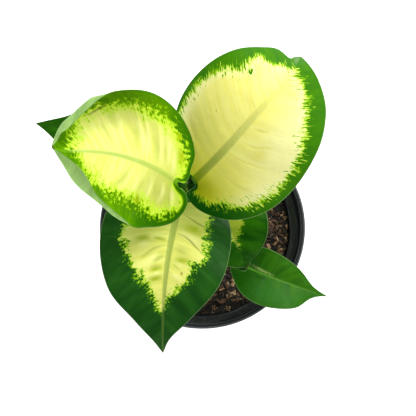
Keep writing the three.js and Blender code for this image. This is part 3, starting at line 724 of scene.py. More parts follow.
def leaf_material(leaf, number):
    """Cream, lime and green that break into each other, with veins, midrib, margin and underside."""
    look = {key: paint(codes.split()[number]) for key, codes in COLOURS.items()}
    make = Shader(leaf["name"] + "_skin")
    read, ramp, times, add = make.attribute, make.ramp, make.times, make.add
    veins, flat = read("vein_mm", "Vector"), read("flat_mm", "Vector")

    def drawn_out(across, along, detail=3.0, rough=0.6):
        """Noise that is drawn out along the veins."""
        return make.noise(make.stretched(veins, across, along), 1.0, detail, rough)

    def swing(texture, reach):
        """A texture as millimetres to either side of the edge."""
        return times(add(texture, -0.5), NOISE_GAIN * reach)

    # How green the leaf is, from 0 to 1. The edge between cream and green runs in lumps, is drawn out
    # along the veins, and leaves dashes and dots of each colour in the other.
    edge = leaf["edge"]
    lumps = make.noise(flat, 1 / edge["lumps"][0], 2.0, 0.5)
    place = add(read("cream_mm"), swing(lumps, edge["lumps"][1]))
    width, length, reach = edge["streaks"]
    streaks = drawn_out(1 / width, 1 / length, 2.0)
    blots = make.noise(flat, 1 / edge["blots"][0], 1.0, 0.4)
    drawn = add(add(place, swing(streaks, reach)), swing(blots, edge["blots"][1]))
    greenness = ramp(drawn, edge["zone"][1], edge["zone"][0])

    def broken(kind):
        """Short marks on either side of the edge, and their strength."""
        width, length, reach, strength = edge[kind]
        return add(drawn_out(1 / width, 1 / length, 1.0), times(place, MARK_FADE / reach)), strength

    dots, strength = broken("dots")
    greenness = make.math("MAXIMUM", greenness, ramp(dots, *DOT_STEP, 0.0, strength))
    dashes, strength = broken("dashes")
    greenness = times(greenness, ramp(dashes, *DASH_STEP, 1.0, 1 - strength))
    greenness = make.math("MAXIMUM", greenness, read("rim"))

    # Green side, deeper towards the margin, with a painted reflection on dull marks, and darker towards the
    # base, partly as painted shade.
    shade = drawn_out(0.16, 0.05, rough=0.5)
    green = make.layers(
        look["green_deep"],
        (ramp(shade, 0.3, 0.72), look["green"]),
        (times(ramp(read("edge_mm"), 2.2, 0.4), 0.5), look["green_deep"]),
        # Painted reflection: dull marks give the green a soft bluish-grey reflection.
        (times(read("dull"), 0.8), look["painted_sheen"]),
        # Darker green towards the base: partly the leaf's own colour, partly painted shade at the crown.
        (read("base_tone_and_shade"), look["green_base"]),
    )

    # Cream side, with painted light and shade on the swell between the veins, cloudy patches, and lime next
    # to the green.
    cloud = make.noise(flat, 0.13, 2.0, 0.5)
    halo = ramp(add(place, swing(streaks, 1.0)), edge["halo"][0], -1.0)
    cream = make.layers(
        look["cream"],
        (ramp(drawn_out(0.4, 0.05), 0.33, 0.68), look["cream_warm"]),
        # Swell between the veins: painted shade in the hollows of the upper leaves and the back left leaf,
        # painted light on the puffs of the front and lower right leaves.
        (times(read("swell"), ramp(cloud, 0.25, 0.6, 0.3, leaf["swell_shading_share"])), look["swell_shading"]),
        # Painted light: the cream is brightened next to its edge with the green.
        (times(ramp(place, 7.0, 0.5), leaf["painted_glow"]), look["vein"]),
        # Darker cream towards the base: partly the leaf's own colour, partly painted shade under the leaves
        # above.
        (read("base_tone_and_shade"), look["base"]),
        # Bright marks: pale veins, and painted highlights where they are soft patches.
        (times(read("bright"), 0.6), look["vein"]),
        # Dull marks on the cream: painted shade in the hollows between the veins and on parts turned from
        # the light.
        (times(read("dull"), 0.8), look["dull"]),
        (times(halo, edge["halo"][1]), look["lime"]),
    )

    # Midrib, paler at the base and greener between green halves.
    rib = make.layers(
        look["rib_base"],
        (ramp(read("along"), 0.0, 0.4), look["rib"]),
        (ramp(greenness, 0.4, 0.8), look["rib_green"]),
    )
    beside = ramp(make.math("ABSOLUTE", read("rib_mm")), 0.5, 0.0, 0.0, leaf["rib_line"])

    # Underside and petiole, with painted shade at the crown.
    below = make.layers(
        look["under"],
        (ramp(shade, 0.3, 0.75), look["under_deep"]),
        (ramp(read("along"), 0.14, 0.02), CROWN_SHADE_GREEN),
    )
    stalk = make.layers(
        paint("3a6818"),
        (ramp(drawn_out(1.2, 0.06), 0.35, 0.68), paint("80a846")),
        (read("stalk_top"), CROWN_SHADE_GREEN),
    )

    # All of it from cream to green, then the marks, the midrib, the thin pale margin line that is a painted
    # highlight, and the rest.
    mottle = make.noise(flat, 0.3, 3.0, 0.55)
    # Dark yellow-green marks: painted shade in the hollows beside the veins, and a painted cast shadow near
    # the base of the upper right leaf.
    olive_shade = times(read("olive_shade"), ramp(mottle, 0.3, 0.6, 0.8, 1.0))
    colour = make.layers(
        cream,
        (ramp(greenness, 0.03, 0.34), look["lime"]),
        (ramp(greenness, 0.32, 0.64), look["bright"]),
        (times(olive_shade, ramp(greenness, 0.8, 0.5)), look["olive_shade"]),
        (ramp(greenness, 0.58, 0.95), green),
        (times(read("fleck"), ramp(streaks, 0.4, 0.62, 0.15, 0.85)), look["cream"]),
        (times(ramp(read("rib_mm"), -0.8, 0.7), read("rib_fade")), rib),
        # A dark line beside the midrib: painted shade in its groove.
        (times(beside, read("rib_fade")), look["crease"]),
        # Thin pale line along the margin: a painted highlight on the leaf's edge.
        (ramp(read("edge_mm"), 0.4, 0.1, 0.0, 0.3), look["line"]),
        # Crease marks: painted shade in creases and folds, besides a few real scratches and dark spots.
        (read("crease"), look["crease"]),
        (read("under"), below),
        (read("stalk"), stalk),
        (read("brown"), look["tip"]),
    )

    rough = ramp(make.noise(flat, 0.12, 2.0, 0.5), 0.3, 0.7, 0.4, 0.52)
    rough = add(rough, times(read("under"), 0.15))
    height = add(times(make.noise(flat, 2.2, 2.0, 0.6), 0.35), times(drawn_out(1.4, 0.12, 2.0, 0.5), 0.65))
    make.surface.inputs["Specular IOR Level"].default_value = leaf["gloss"]
    make.surface.inputs["IOR"].default_value = 1.45
    return make.finish(Base_Color=colour, Roughness=rough, Normal=make.bump(height, 0.0003, 0.5))


# ---------------------------------------------------------------- cane

SPINE_STEPS = 80
cane_line, _ = smooth_path([CANE_FOOT, CANE_SOIL, CANE_TOP], 400)


def cane_centre(z):
    z = np.asarray(z, float)
    return np.stack([np.interp(z, cane_line[:, 2], cane_line[:, k]) for k in (0, 1)] + [z], -1)


def cane_radius(z):
    share = np.clip((np.asarray(z, float) - CANE_SOIL[2]) / (CANE_TOP[2] - CANE_SOIL[2]), 0, 1)
    return lerp(CANE_RADIUS, CANE_TOP_RADIUS, share)


def cane_rings(heights, radii, sides):
    around = circle(sides)
    rings = np.repeat(cane_centre(heights)[:, None], sides, 1)
    rings[..., :2] += around[None] * radii[..., None]
    return rings


def cane_room():
    """The smooth space that the cane needs in the soil and in the sheaths."""
    heights = np.linspace(CANE_FOOT[2] - GAP, CANE_TOP[2] + GAP, 60)
    radii = np.repeat((cane_radius(heights) + SCAR_HEIGHT + GAP)[:, None], 48, 1)
    return tube(cane_rings(heights, radii, 48))


def make_cane():
    heights = np.linspace(CANE_FOOT[2], CANE_TOP[2], 260)
    turn, height = np.meshgrid(angles_round(CANE_SIDES), heights)
    lean = 0.8 * np.sin(turn + height * 0.4)
    phase = (height - CANE_FOOT[2] + lean) / SCAR_SPACING
    scar = np.abs((phase + 0.5) % 1 - 0.5) * SCAR_SPACING
    ring = SCAR_HEIGHT * np.exp(-(scar / 0.8) ** 2)
    spots = np.stack([np.cos(turn) * 5, np.sin(turn) * 5, height], -1)
    rough = 0.12 * noise(spots, 2.2, 5) + 0.08 * noise(spots, 0.9, 6)
    radii = cane_radius(height) + ring + rough
    points, faces = tube(cane_rings(heights, radii, CANE_SIDES))
    scars = np.concatenate([np.exp(-(scar / 0.7) ** 2).ravel(), [0, 0]])

    make = Shader("cane_skin")
    where = make.where()
    along = make.noise(make.stretched(where, 900, 900, 120), 1.0, 3.0, 0.6)
    blotch = make.noise(where, 420, 3.0, 0.6)
    colour = make.layers(
        paint("4a6828"),
        (make.ramp(along, 0.35, 0.7), paint("809652")),
        (make.ramp(blotch, 0.52, 0.7), paint("68603a")),
        (make.times(make.attribute("scar"), 0.85), paint("605034")),
    )
    rough = make.ramp(blotch, 0.3, 0.7, 0.45, 0.7)
    skin = make.finish(Base_Color=colour, Roughness=rough, Normal=make.bump(along, 0.0003, 0.6))
    make_piece("cane_stem", points, faces, skin, "cane", "cane", {"scar": scars})


# ---------------------------------------------------------------- pot


def inner_radius(z):
    share = (z - BASE_CORNER) / (POT_HEIGHT - COLLAR_DEPTH - BASE_CORNER)
    return lerp(BASE_RADIUS, SHOULDER_RADIUS, share) - WALL


def rounded(profile, radii, steps=6):
    """A profile with each corner turned into an arc-like bend of its own size."""
    bent = [profile[0]]
    for before, corner, after, radius in zip(profile, profile[1:], profile[2:], radii):
        before, corner, after = map(np.array, (before, corner, after))
        to_before, to_after = before - corner, after - corner
        reach = min(radius, *(0.45 * np.linalg.norm(side) for side in (to_before, to_after)))
        start, end = corner + unit(to_before) * reach, corner + unit(to_after) * reach
        for w in np.linspace(0, 1, steps):
            bent.append(tuple((1 - w) ** 2 * start + 2 * w * (1 - w) * corner + w * w * end))
    bent.append(profile[-1])
    return bent


def make_pot():
    shoulder, lip_foot = POT_HEIGHT - COLLAR_DEPTH, POT_HEIGHT - LIP_DEPTH
    lip_inside = LIP_RADIUS - LIP_WIDTH
    collar_foot = COLLAR_RADIUS - WALL - COLLAR_FLARE
    wall = [
        (lerp(BASE_RADIUS, SHOULDER_RADIUS, share), lerp(BASE_CORNER, shoulder, share), 1)
        for share in (0.25, 0.5, 0.75)
    ]
    corners = [
        (0, 0, 0),
        (BASE_RADIUS - BASE_CORNER / 2, 0, 1.2),
        (BASE_RADIUS, BASE_CORNER, 1.2),
        *wall,
        (SHOULDER_RADIUS, shoulder - WALL, 1),
        (collar_foot + WALL, shoulder - WALL / 2, 1.2),
        (COLLAR_RADIUS, lip_foot, 0.4),
        (LIP_RADIUS, lip_foot, 0.9),
        (LIP_RADIUS, POT_HEIGHT, 1.3),
        (lip_inside, POT_HEIGHT, 1.1),
        (COLLAR_RADIUS - WALL, lip_foot, 0.8),
        (collar_foot, shoulder, 0.9),
        (inner_radius(shoulder), shoulder, 0.7),
        (inner_radius(BASE_CORNER), BASE_CORNER, 1),
        (0, BASE_CORNER, 0),
    ]
    profile = rounded([c[:2] for c in corners], [c[2] for c in corners[1:-1]])
    points, faces = lathe(profile, POT_SIDES)
    holes = []
    for x, y in DRAIN_CIRCLE_RADIUS * circle(DRAIN_HOLES):
        heights = np.array([-BASE_CORNER, BASE_CORNER / 2, 2 * BASE_CORNER])
        rings = np.zeros((len(heights), HOLE_SIDES, 3)) + (x, y, 0)
        rings[..., :2] += DRAIN_HOLE_RADIUS * circle(HOLE_SIDES)
        rings[..., 2] = heights[:, None]
        holes.append(tube(rings))
    points, faces = cut((points, faces), holes)

    make = Shader("pot_skin")
    where = make.where()
    ramp, times, add = make.ramp, make.times, make.add
    swirl = make.noise(make.stretched(where, 60, 60, 500), 1.0, 3.0, 0.6)
    dust = make.noise(where, 900, 3.0, 0.65)
    cloud = make.noise(where, 90, 3.0, 0.6)
    parts = make.node("SeparateXYZ", where).outputs
    height = times(parts[2], 1 / MM)
    ledge = times(ramp(height, *LEDGE_LOW), ramp(height, *LEDGE_HIGH))
    settled = times(ledge, ramp(cloud, 0.35, 0.65, 0.2, 1.0))
    radius = make.node("VectorMath", make.stretched(where, 1, 1, 0.0), operation="LENGTH").outputs[1]
    turn = make.math("ARCTAN2", parts[1], parts[0])
    around = make.node("CombineXYZ", times(radius, 1100.0), times(turn, 3.0), 0.0).outputs[0]
    # Pale streaks that run round the ledge.
    ledge_streaks = ramp(make.noise(around, 1.0, 3.0, 0.6), 0.48, 0.72)
    # Painted highlights: two thin pale lines along the outer and inner edges of the lip's top, broken by
    # noise.
    worn = 0.0
    for edge_radius, half_width in LIP_HIGHLIGHT_LINES:
        away = make.math("ABSOLUTE", add(times(radius, 1 / MM), -edge_radius))
        worn = add(worn, ramp(away, half_width, 0.0))
    worn = times(worn, ramp(height, *LIP_HIGHLIGHT_HEIGHT))
    worn = times(worn, ramp(make.noise(around, 0.6, 2.0, 0.5), 0.3, 0.6, 0.35, 0.9))
    stray = times(ramp(dust, 0.68, 0.78), ramp(cloud, 0.45, 0.7))
    colour = make.layers(
        paint("0d0f12"),
        (ramp(swirl, 0.3, 0.7), paint("191c21")),
        (times(settled, 0.1), paint("4a4844")),
        (times(ledge, times(ledge_streaks, 0.6)), paint("54565c")),
        (times(settled, ramp(dust, 0.62, 0.74)), paint("7c7464")),
        # Painted lip highlights.
        (worn, paint("60646c")),
        (times(stray, 0.35), paint("605c54")),
    )
    rough = ramp(make.noise(where, 160, 4.0, 0.6), 0.3, 0.7, 0.3, 0.44)
    rough = add(rough, times(settled, 0.3))
    relief = add(times(swirl, 0.4), times(make.noise(where, 1500, 2.0), 0.6))
    make.surface.inputs["Specular IOR Level"].default_value = POT_GLOSS
    skin = make.finish(Base_Color=colour, Roughness=rough, Normal=make.bump(relief, 0.0002, 0.35))
    make_piece("nursery_pot", points, faces, skin, "pot_plastic", "pot")


# ---------------------------------------------------------------- soil


def plug_radius(z):
    return inner_radius(z) - GAP


def soil_height(x, y):
    short = np.sin(x / SHORT_SWELL[0] + 1) * np.cos(y / SHORT_SWELL[1])
    long = np.sin(x / LONG_SWELL[0] - y / LONG_SWELL[1] + 2)
    return SOIL_LEVEL + SOIL_SWELL * (short + long / 2)


def crumbly(x, y):
    """The height of the soil's top with its crumbs."""
    spot = np.stack([x, y], -1)
    lumps = 0.55 * noise(spot, 2.3, 1) + 0.4 * noise(spot, 1.2, 2) + 0.25 * noise(spot, 0.7, 3)
    reach = plug_radius(SOIL_LEVEL)
    fall = smooth_step(reach - 5, reach, np.hypot(x, y))
    return lerp(soil_height(x, y), SOIL_LEVEL - SOIL_EDGE_DROP, fall) + lumps * (1 - 0.6 * fall)


def soil_plug():
    foot = BASE_CORNER + GAP
    foot_top = foot + BASE_CORNER
    edge = SOIL_LEVEL - SOIL_EDGE_DROP
    around = circle(SOIL_SIDES)
    rings = []
    sides = [(plug_radius(foot_top) - BASE_CORNER, foot), (plug_radius(foot_top), foot_top)]
    sides += [(plug_radius(z), z) for z in np.linspace(foot_top, edge - 1, 14)[1:]]
    for radius, z in sides:
        rings.append(np.column_stack([radius * around, np.full(SOIL_SIDES, z)]))
    for share in np.linspace(1, 0, SOIL_RINGS, endpoint=False):
        ring = plug_radius(SOIL_LEVEL) * share * around
        rings.append(np.column_stack([ring, crumbly(*ring.T)]))
    points, faces = tube(np.array(rings))
    points[-1, 2] = crumbly(np.zeros(1), np.zeros(1))[0]
    return points, faces


def random_from(seed):
    """A repeatable random number from 0 to 1 at each call, as in the model."""
    state = seed
    while True:
        state = (state * 1664525 + 1013904223) % 4294967296
        yield state / 4294967296


def random_spot(draw, room):
    """A random place (x, y) on the soil, at least room from the wall."""
    radius = (plug_radius(SOIL_LEVEL) - room) * math.sqrt(draw())
    angle = draw() * FULL_TURN
    return radius * np.array([math.cos(angle), math.sin(angle)])


def turned(points, tilt_x, tilt_y, turn):
    """Points turned round x, then y, then z."""
    for axis, angle in (("X", tilt_x), ("Y", tilt_y), ("Z", turn)):
        points = points @ np.array(Matrix.Rotation(angle, 3, axis)).T
    return points


# A box's corners in the model's order, so that the draws are the same.
CORNERS = [
    (1, 1, 1), (1, 1, -1), (1, -1, 1), (1, -1, -1), (-1, 1, -1), (-1, 1, 1), (-1, -1, -1), (-1, -1, 1),
]


def model_chips():
    """The bark chips of the model: for each, its eight corners round its own middle, and its spot."""
    draw = random_from(SEED).__next__
    room = CHIP_LENGTH[1] / 2 + CHIP_CLEARANCE
    cane = cane_centre(SOIL_LEVEL)
    placed, chips = [], []
    while len(placed) < CHIPS:
        spot = np.array([*random_spot(draw, room), SOIL_LEVEL])
        clear_of_cane = np.linalg.norm(spot - cane) > CANE_RADIUS + room
        if not clear_of_cane or any(np.linalg.norm(spot - other) <= CHIP_SPACING for other in placed):
            continue
        placed.append(spot)
        length = lerp(*CHIP_LENGTH, draw())
        width = length * lerp(*CHIP_WIDTH, draw())
        size = np.array([length, width, lerp(*CHIP_THICKNESS, draw())])
        corners = {}
        for signs in CORNERS:
            wear = np.array([1 - CHIP_WEAR * draw() for _ in range(3)])
            corners[signs] = np.array(signs) * size / 2 * wear
        tilts = [math.radians(lerp(-CHIP_TILT, CHIP_TILT, draw())) for _ in range(2)]
        turn = draw() * FULL_TURN
        box = turned(np.array([corners[signs] for signs in sorted(corners)]), *tilts, turn)
        chips.append((box, (spot[0], spot[1], float(soil_height(spot[0], spot[1])))))
    return chips


def slab(steps):
    """A cube's skin as grid points from 0 to 1 on each axis, with its faces."""
    places, faces = {}, []

    def place(point):
        return places.setdefault(tuple(point), len(places))

    for axis in range(3):
        for end in (0, steps):
            for a in range(steps):
                for b in range(steps):
                    quad = []
                    for da, db in ((0, 0), (1, 0), (1, 1), (0, 1)):
                        point = [0, 0, 0]
                        point[axis], point[(axis + 1) % 3], point[(axis + 2) % 3] = end, a + da, b + db
                        quad.append(place(point))
                    faces.append(tuple(quad if end else quad[::-1]))
    return np.array(list(places)) / steps, faces


def rough_chip(box, shares, bevel, bumps, seed):
    """A broken chip: the eight corners filled in, its edges worn round and its faces made rough."""
    centred = 2 * shares - 1
    worn = centred * (1 - bevel * (np.linalg.norm(centred, axis=1, keepdims=True) - 1) / 0.74)
    w = (worn + 1) / 2
    points = 0
    for index, corner in enumerate(np.ndindex(2, 2, 2)):
        weight = np.prod(np.where(corner, w, 1 - w), axis=1, keepdims=True)
        points = points + weight * box[index]
    shift = np.stack([noise(points + 40 * k, bumps[1], seed + k) for k in range(3)], -1)
    return points + bumps[0] * shift


def make_soil():
    draw = np.random.default_rng(SEED)
    points, faces = cut(soil_plug(), [cane_room()])

    make = Shader("soil_skin")
    where = make.where()
    lumps = make.noise(where, 420, 4.0, 0.65)
    colour = make.blend(make.ramp(lumps, 0.38, 0.66), paint("080603"), paint("1a130c"))
    specks = make.noise(where, 1500, 3.0, 0.6)
    colour = make.blend(make.ramp(specks, 0.62, 0.74), colour, paint("68563e"))
    rough = make.ramp(lumps, 0.35, 0.65, 0.7, 0.95)
    relief = make.add(lumps, make.times(specks, 0.4))
    peat = make.finish(Base_Color=colour, Roughness=rough, Normal=make.bump(relief, 0.001, 0.8))
    make_piece("potting_mix", points, faces, peat, "potting_soil", "soil")

    make = Shader("bark_skin")
    tint = make.attribute("tint")
    fibre = make.noise(make.stretched(make.where(), 1.0, 1.0, 0.5), 1300, 4.0, 0.65)
    colour = make.layers(
        paint("1e150d"),
        (make.ramp(tint, 0.0, 0.5), paint("704e32")),
        (make.ramp(tint, 0.6, 1.0), paint("d8b080")),
        (make.ramp(fibre, 0.35, 0.62, 0.75, 0.0), paint("140f0a")),
    )
    rough = make.ramp(fibre, 0.3, 0.7, 0.5, 0.85)
    bark = make.finish(Base_Color=colour, Roughness=rough, Normal=make.bump(fibre, 0.0008, 0.8))

    chips, tints = [], []
    big, big_faces = slab(CHIP_GRID)
    for number, (box, middle) in enumerate(model_chips()):
        chip = rough_chip(box, big, CHIP_BEVEL, CHIP_BUMPS, 50 + number)
        chips.append((chip + middle, big_faces))
        tints.append(np.full(len(chip), draw.uniform(0.15, 0.95)))
    small, small_faces = slab(CRUMB_GRID)
    cube = np.array(list(np.ndindex(2, 2, 2))) - 0.5
    cane = cane_centre(SOIL_LEVEL)[:2]
    while len(chips) < CHIPS + CRUMBS:
        spot = random_spot(draw.random, CRUMB_WALL_ROOM)
        if np.linalg.norm(spot - cane) < CANE_RADIUS + CRUMB_CANE_ROOM:
            continue
        length = lerp(*CRUMB_LENGTH, draw.random() ** 1.6)
        size = length * np.array([1, draw.uniform(*CRUMB_WIDTH), draw.uniform(*CRUMB_THICKNESS)])
        corners = cube * size * draw.uniform(CRUMB_WEAR, 1, (8, 3))
        tilts = np.radians(draw.uniform(-CRUMB_TILT, CRUMB_TILT, 2))
        box = turned(corners, *tilts, draw.random() * FULL_TURN)
        bumps = [share * length for share in CRUMB_BUMPS]
        chip = rough_chip(box, small, CRUMB_BEVEL, bumps, int(draw.integers(1e6)))
        rise = draw.uniform(*CRUMB_RISE)
        chips.append((chip + (*spot, crumbly(*spot[:, None])[0] + rise), small_faces))
        tints.append(np.full(len(chip), draw.random() ** 1.3))
    looks = {"tint": np.concatenate(tints)}
    make_piece("bark_chips", *joined(chips), bark, "potting_soil", None, looks)

    make = Shader("grain_skin")
    where = make.where()
    patch = make.noise(where, 1800, 3.0, 0.6)
    colour = make.blend(make.ramp(patch, 0.35, 0.65), paint("c4b8a0"), paint("96866c"))
    rough = make.ramp(patch, 0.3, 0.7, 0.6, 0.85)
    stone = make.finish(Base_Color=colour, Roughness=rough, Normal=make.bump(patch, 0.0003, 0.6))
    grains = []
    for number in range(GRAINS):
        spot = random_spot(draw.random, GRAIN_WALL_ROOM)
        size = draw.uniform(*GRAIN_SIZE) * draw.uniform(0.7, 1, 3)
        grain = rough_chip(cube * size, small, GRAIN_BEVEL, GRAIN_BUMPS, 900 + number)
        grains.append((grain + (*spot, crumbly(*spot[:, None])[0] + GRAIN_RISE), small_faces))
    make_piece("pale_grains", *joined(grains), stone, "potting_soil")


# ---------------------------------------------------------------- leaves


def compass(heading, pitch):
    """The way on, and level left, at a heading and pitch in radians."""
    way = np.stack([np.cos(pitch) * np.cos(heading), np.cos(pitch) * np.sin(heading), np.sin(pitch)], -1)
    return way, np.stack([-np.sin(heading), np.cos(heading), 0 * heading], -1)


def midrib(leaf, u):
    """The midrib's point, way on, left and up at distances u from the blade's base."""
    u = np.asarray(u, float)

    def way_at(x):
        angles = (np.radians(smooth_keys(leaf[key], x)) for key in ("heading", "pitch"))
        return compass(*angles)

    middles = (np.arange(SPINE_STEPS) + 0.5) / SPINE_STEPS
    steps = way_at(middles)[0] * leaf["length"] / SPINE_STEPS
    spine = np.vstack([leaf["base"], leaf["base"] + np.cumsum(steps, axis=0)])
    x = np.clip(u / leaf["length"], 0, 1)
    way, left = way_at(x)
    knots = np.arange(SPINE_STEPS + 1)
    point = np.stack([np.interp(x * SPINE_STEPS, knots, axis) for axis in spine.T], -1)
    point = point + way * (u - x * leaf["length"])[..., None]
    return point, way, left, np.cross(way, left)


def rib_depth(leaf, share):
    return lerp(2 * leaf["petiole"]["radius"] - BLADE_THICKNESS, RIB_TIP_DEPTH, share ** RIB_TAPER)


def margin_at(half, s):
    """The flat outline at s from the sinus to the tip: along, across."""
    even = np.linspace(0, 1, len(half["margin"]))
    along, across = (np.interp(s, even, axis) for axis in half["margin"].T)
    return along, np.maximum(across, 0.01)


def flat_at(leaf, half, s, t):
    """The flat place (along, across) of the point t of the way out along the vein at s."""
    along, width = margin_at(half, s)
    foot = leaf["length"] * np.clip(s, 0, 1) ** VEIN_CROWDING
    return np.stack([lerp(foot, along, np.clip(t, 0, None) ** VEIN_SWEEP), t * width], -1)


def half_blade(leaf, half, side, s, t):
    """The middle surface of a half blade at s along the margin and t out from the midrib."""
    flat = flat_at(leaf, half, s, t)
    _, width = margin_at(half, s)
    point, _, left, up = midrib(leaf, flat[..., 0])
    fold = np.radians(lerp(*leaf["fold"], s))
    turn = np.radians(smooth_keys(half["roll"], s))
    turn = np.where(np.abs(turn) < 1e-4, 1e-4, turn)
    bend = turn / (width * (1 - half["roll_from"]))
    level = np.minimum(t, half["roll_from"]) * width
    slope = fold + bend * (t * width - level)
    out = level * np.cos(fold) + (np.sin(slope) - np.sin(fold)) / bend
    rise = level * np.sin(fold) - (np.cos(slope) - np.cos(fold)) / bend
    wave = WAVE_HEIGHT * leaf["wave"] * t * t * np.sin(math.pi * s) * np.sin(s * WAVES * FULL_TURN)
    out, rise = out - wave * np.sin(slope), rise + wave * np.cos(slope)
    return point + left * (side * out)[..., None] + up * rise[..., None]


def vein_relief(half, s, t, per_s, across, seed):
    """Ridges along the main lateral veins, and the swell between them, both from 0 to 1."""
    edges = np.array([0, *half["veins"], 100]) / 100
    which = np.clip(np.searchsorted(edges, s) - 1, 0, len(edges) - 2)
    low, high = edges[which], edges[which + 1]
    away = np.minimum(s - low, high - s) * per_s
    fade = (1 - np.exp(-across / 2.5)) * smooth_step(1.02, 0.7, t) * smooth_step(0, 0.05, s)
    heft = 0.75 + 0.5 * lattice(which, which * 0, which * 0, seed)
    swell = np.sin(math.pi * (s - low) / (high - low)) ** 0.9 * heft * fade
    return np.exp(-(away / 0.42) ** 2) * fade, swell


def patches(spots, s, t):
    """Soft spots, given in percent, at each place from 0 to 1."""
    total = np.zeros_like(s)
    for s0, t0, size_s, size_t, strength in np.array(spots) / 100:
        total = total + strength * np.exp(-(((s - s0) / size_s) ** 2) - ((t - t0) / size_t) ** 2)
    return np.clip(total, 0, 1)


def drawn_line(places, line, half_width):
    """A soft line of straight steps, from 0 to 1, that fades out at both ends."""
    away, progress = np.full(places.shape[:-1], np.inf), np.zeros(places.shape[:-1])
    for number, (start, end) in enumerate(zip(line, line[1:])):
        step = end - start
        share = np.clip(((places - start) @ step) / (step @ step), 0, 1)
        gap = np.linalg.norm(places - (start + share[..., None] * step), axis=-1)
        progress = np.where(gap < away, (number + share) / (len(line) - 1), progress)
        away = np.minimum(away, gap)
    fade = LINE_FADE + (1 - LINE_FADE) * np.sin(math.pi * progress)
    return np.exp(-((away / half_width) ** 2)) * fade


LINE_FADE = 0.15
LINE_STEPS = 12
MARKS = ("bright", "dull", "olive_shade", "crease", "fleck", "brown")
MARK_RELIEF = {"bright": 0.18, "dull": -0.12, "olive_shade": -0.4, "crease": -0.08}


def half_looks(leaf, half, s, t):
    """The numbers that the leaf's material reads, at each place of a half blade."""
    flat = flat_at(leaf, half, s, t)
    places = flat.reshape(-1, 2)
    to_margin, _ = nearest(places, half["margin"][::4])
    keys_s, keys_t = np.array(half["cream"]).T / 100
    end = keys_s[-1]
    border_s = np.linspace(0, max(end, 0.001), 500)
    border = flat_at(leaf, half, border_s, np.interp(border_s, keys_s, keys_t))
    to_border, _ = nearest(places, border)
    inside = (t < np.interp(s, keys_s, keys_t)) & (s < end)
    signed = np.where(inside.ravel(), to_border, -to_border).reshape(s.shape)
    if end == 0:
        signed = np.full(s.shape, -FAR)
    for s0, t0, size_s, size_t, rise in half.get("islands", ()):
        signed = signed + rise * patches([(s0, t0, size_s, size_t, 100)], s, t)
    band = smooth_keys(leaf["band"], flat[..., 0] / leaf["length"])
    rim = leaf["edge"]["rim"]
    marks = {}
    for kind in MARKS:
        marks[kind] = patches(half.get("patches", {}).get(kind, ()), s, t)
        for half_width, *line in half.get("lines", {}).get(kind, ()):
            line = [flat_at(leaf, half, *np.array(place) / 100) for place in line]
            if len(line) > 2:
                line = smooth_path(line, LINE_STEPS, 12)[0]
            marks[kind] = np.maximum(marks[kind], drawn_line(flat, line, half_width))
    return {
        "flat": flat,
        "cream_mm": signed,
        "edge_mm": to_margin.reshape(s.shape),
        "rim": smooth_step(2 * rim, 0.7 * rim, to_margin.reshape(s.shape)) * smooth_step(0.01, 0.05, s),
        "rib_mm": band - flat[..., 1],
        "along": np.clip(flat[..., 0] / leaf["length"], 0, 1),
        "rib_fade": smooth_step(*leaf["rib_ends"], flat[..., 0] / leaf["length"]),
        **marks,
    }


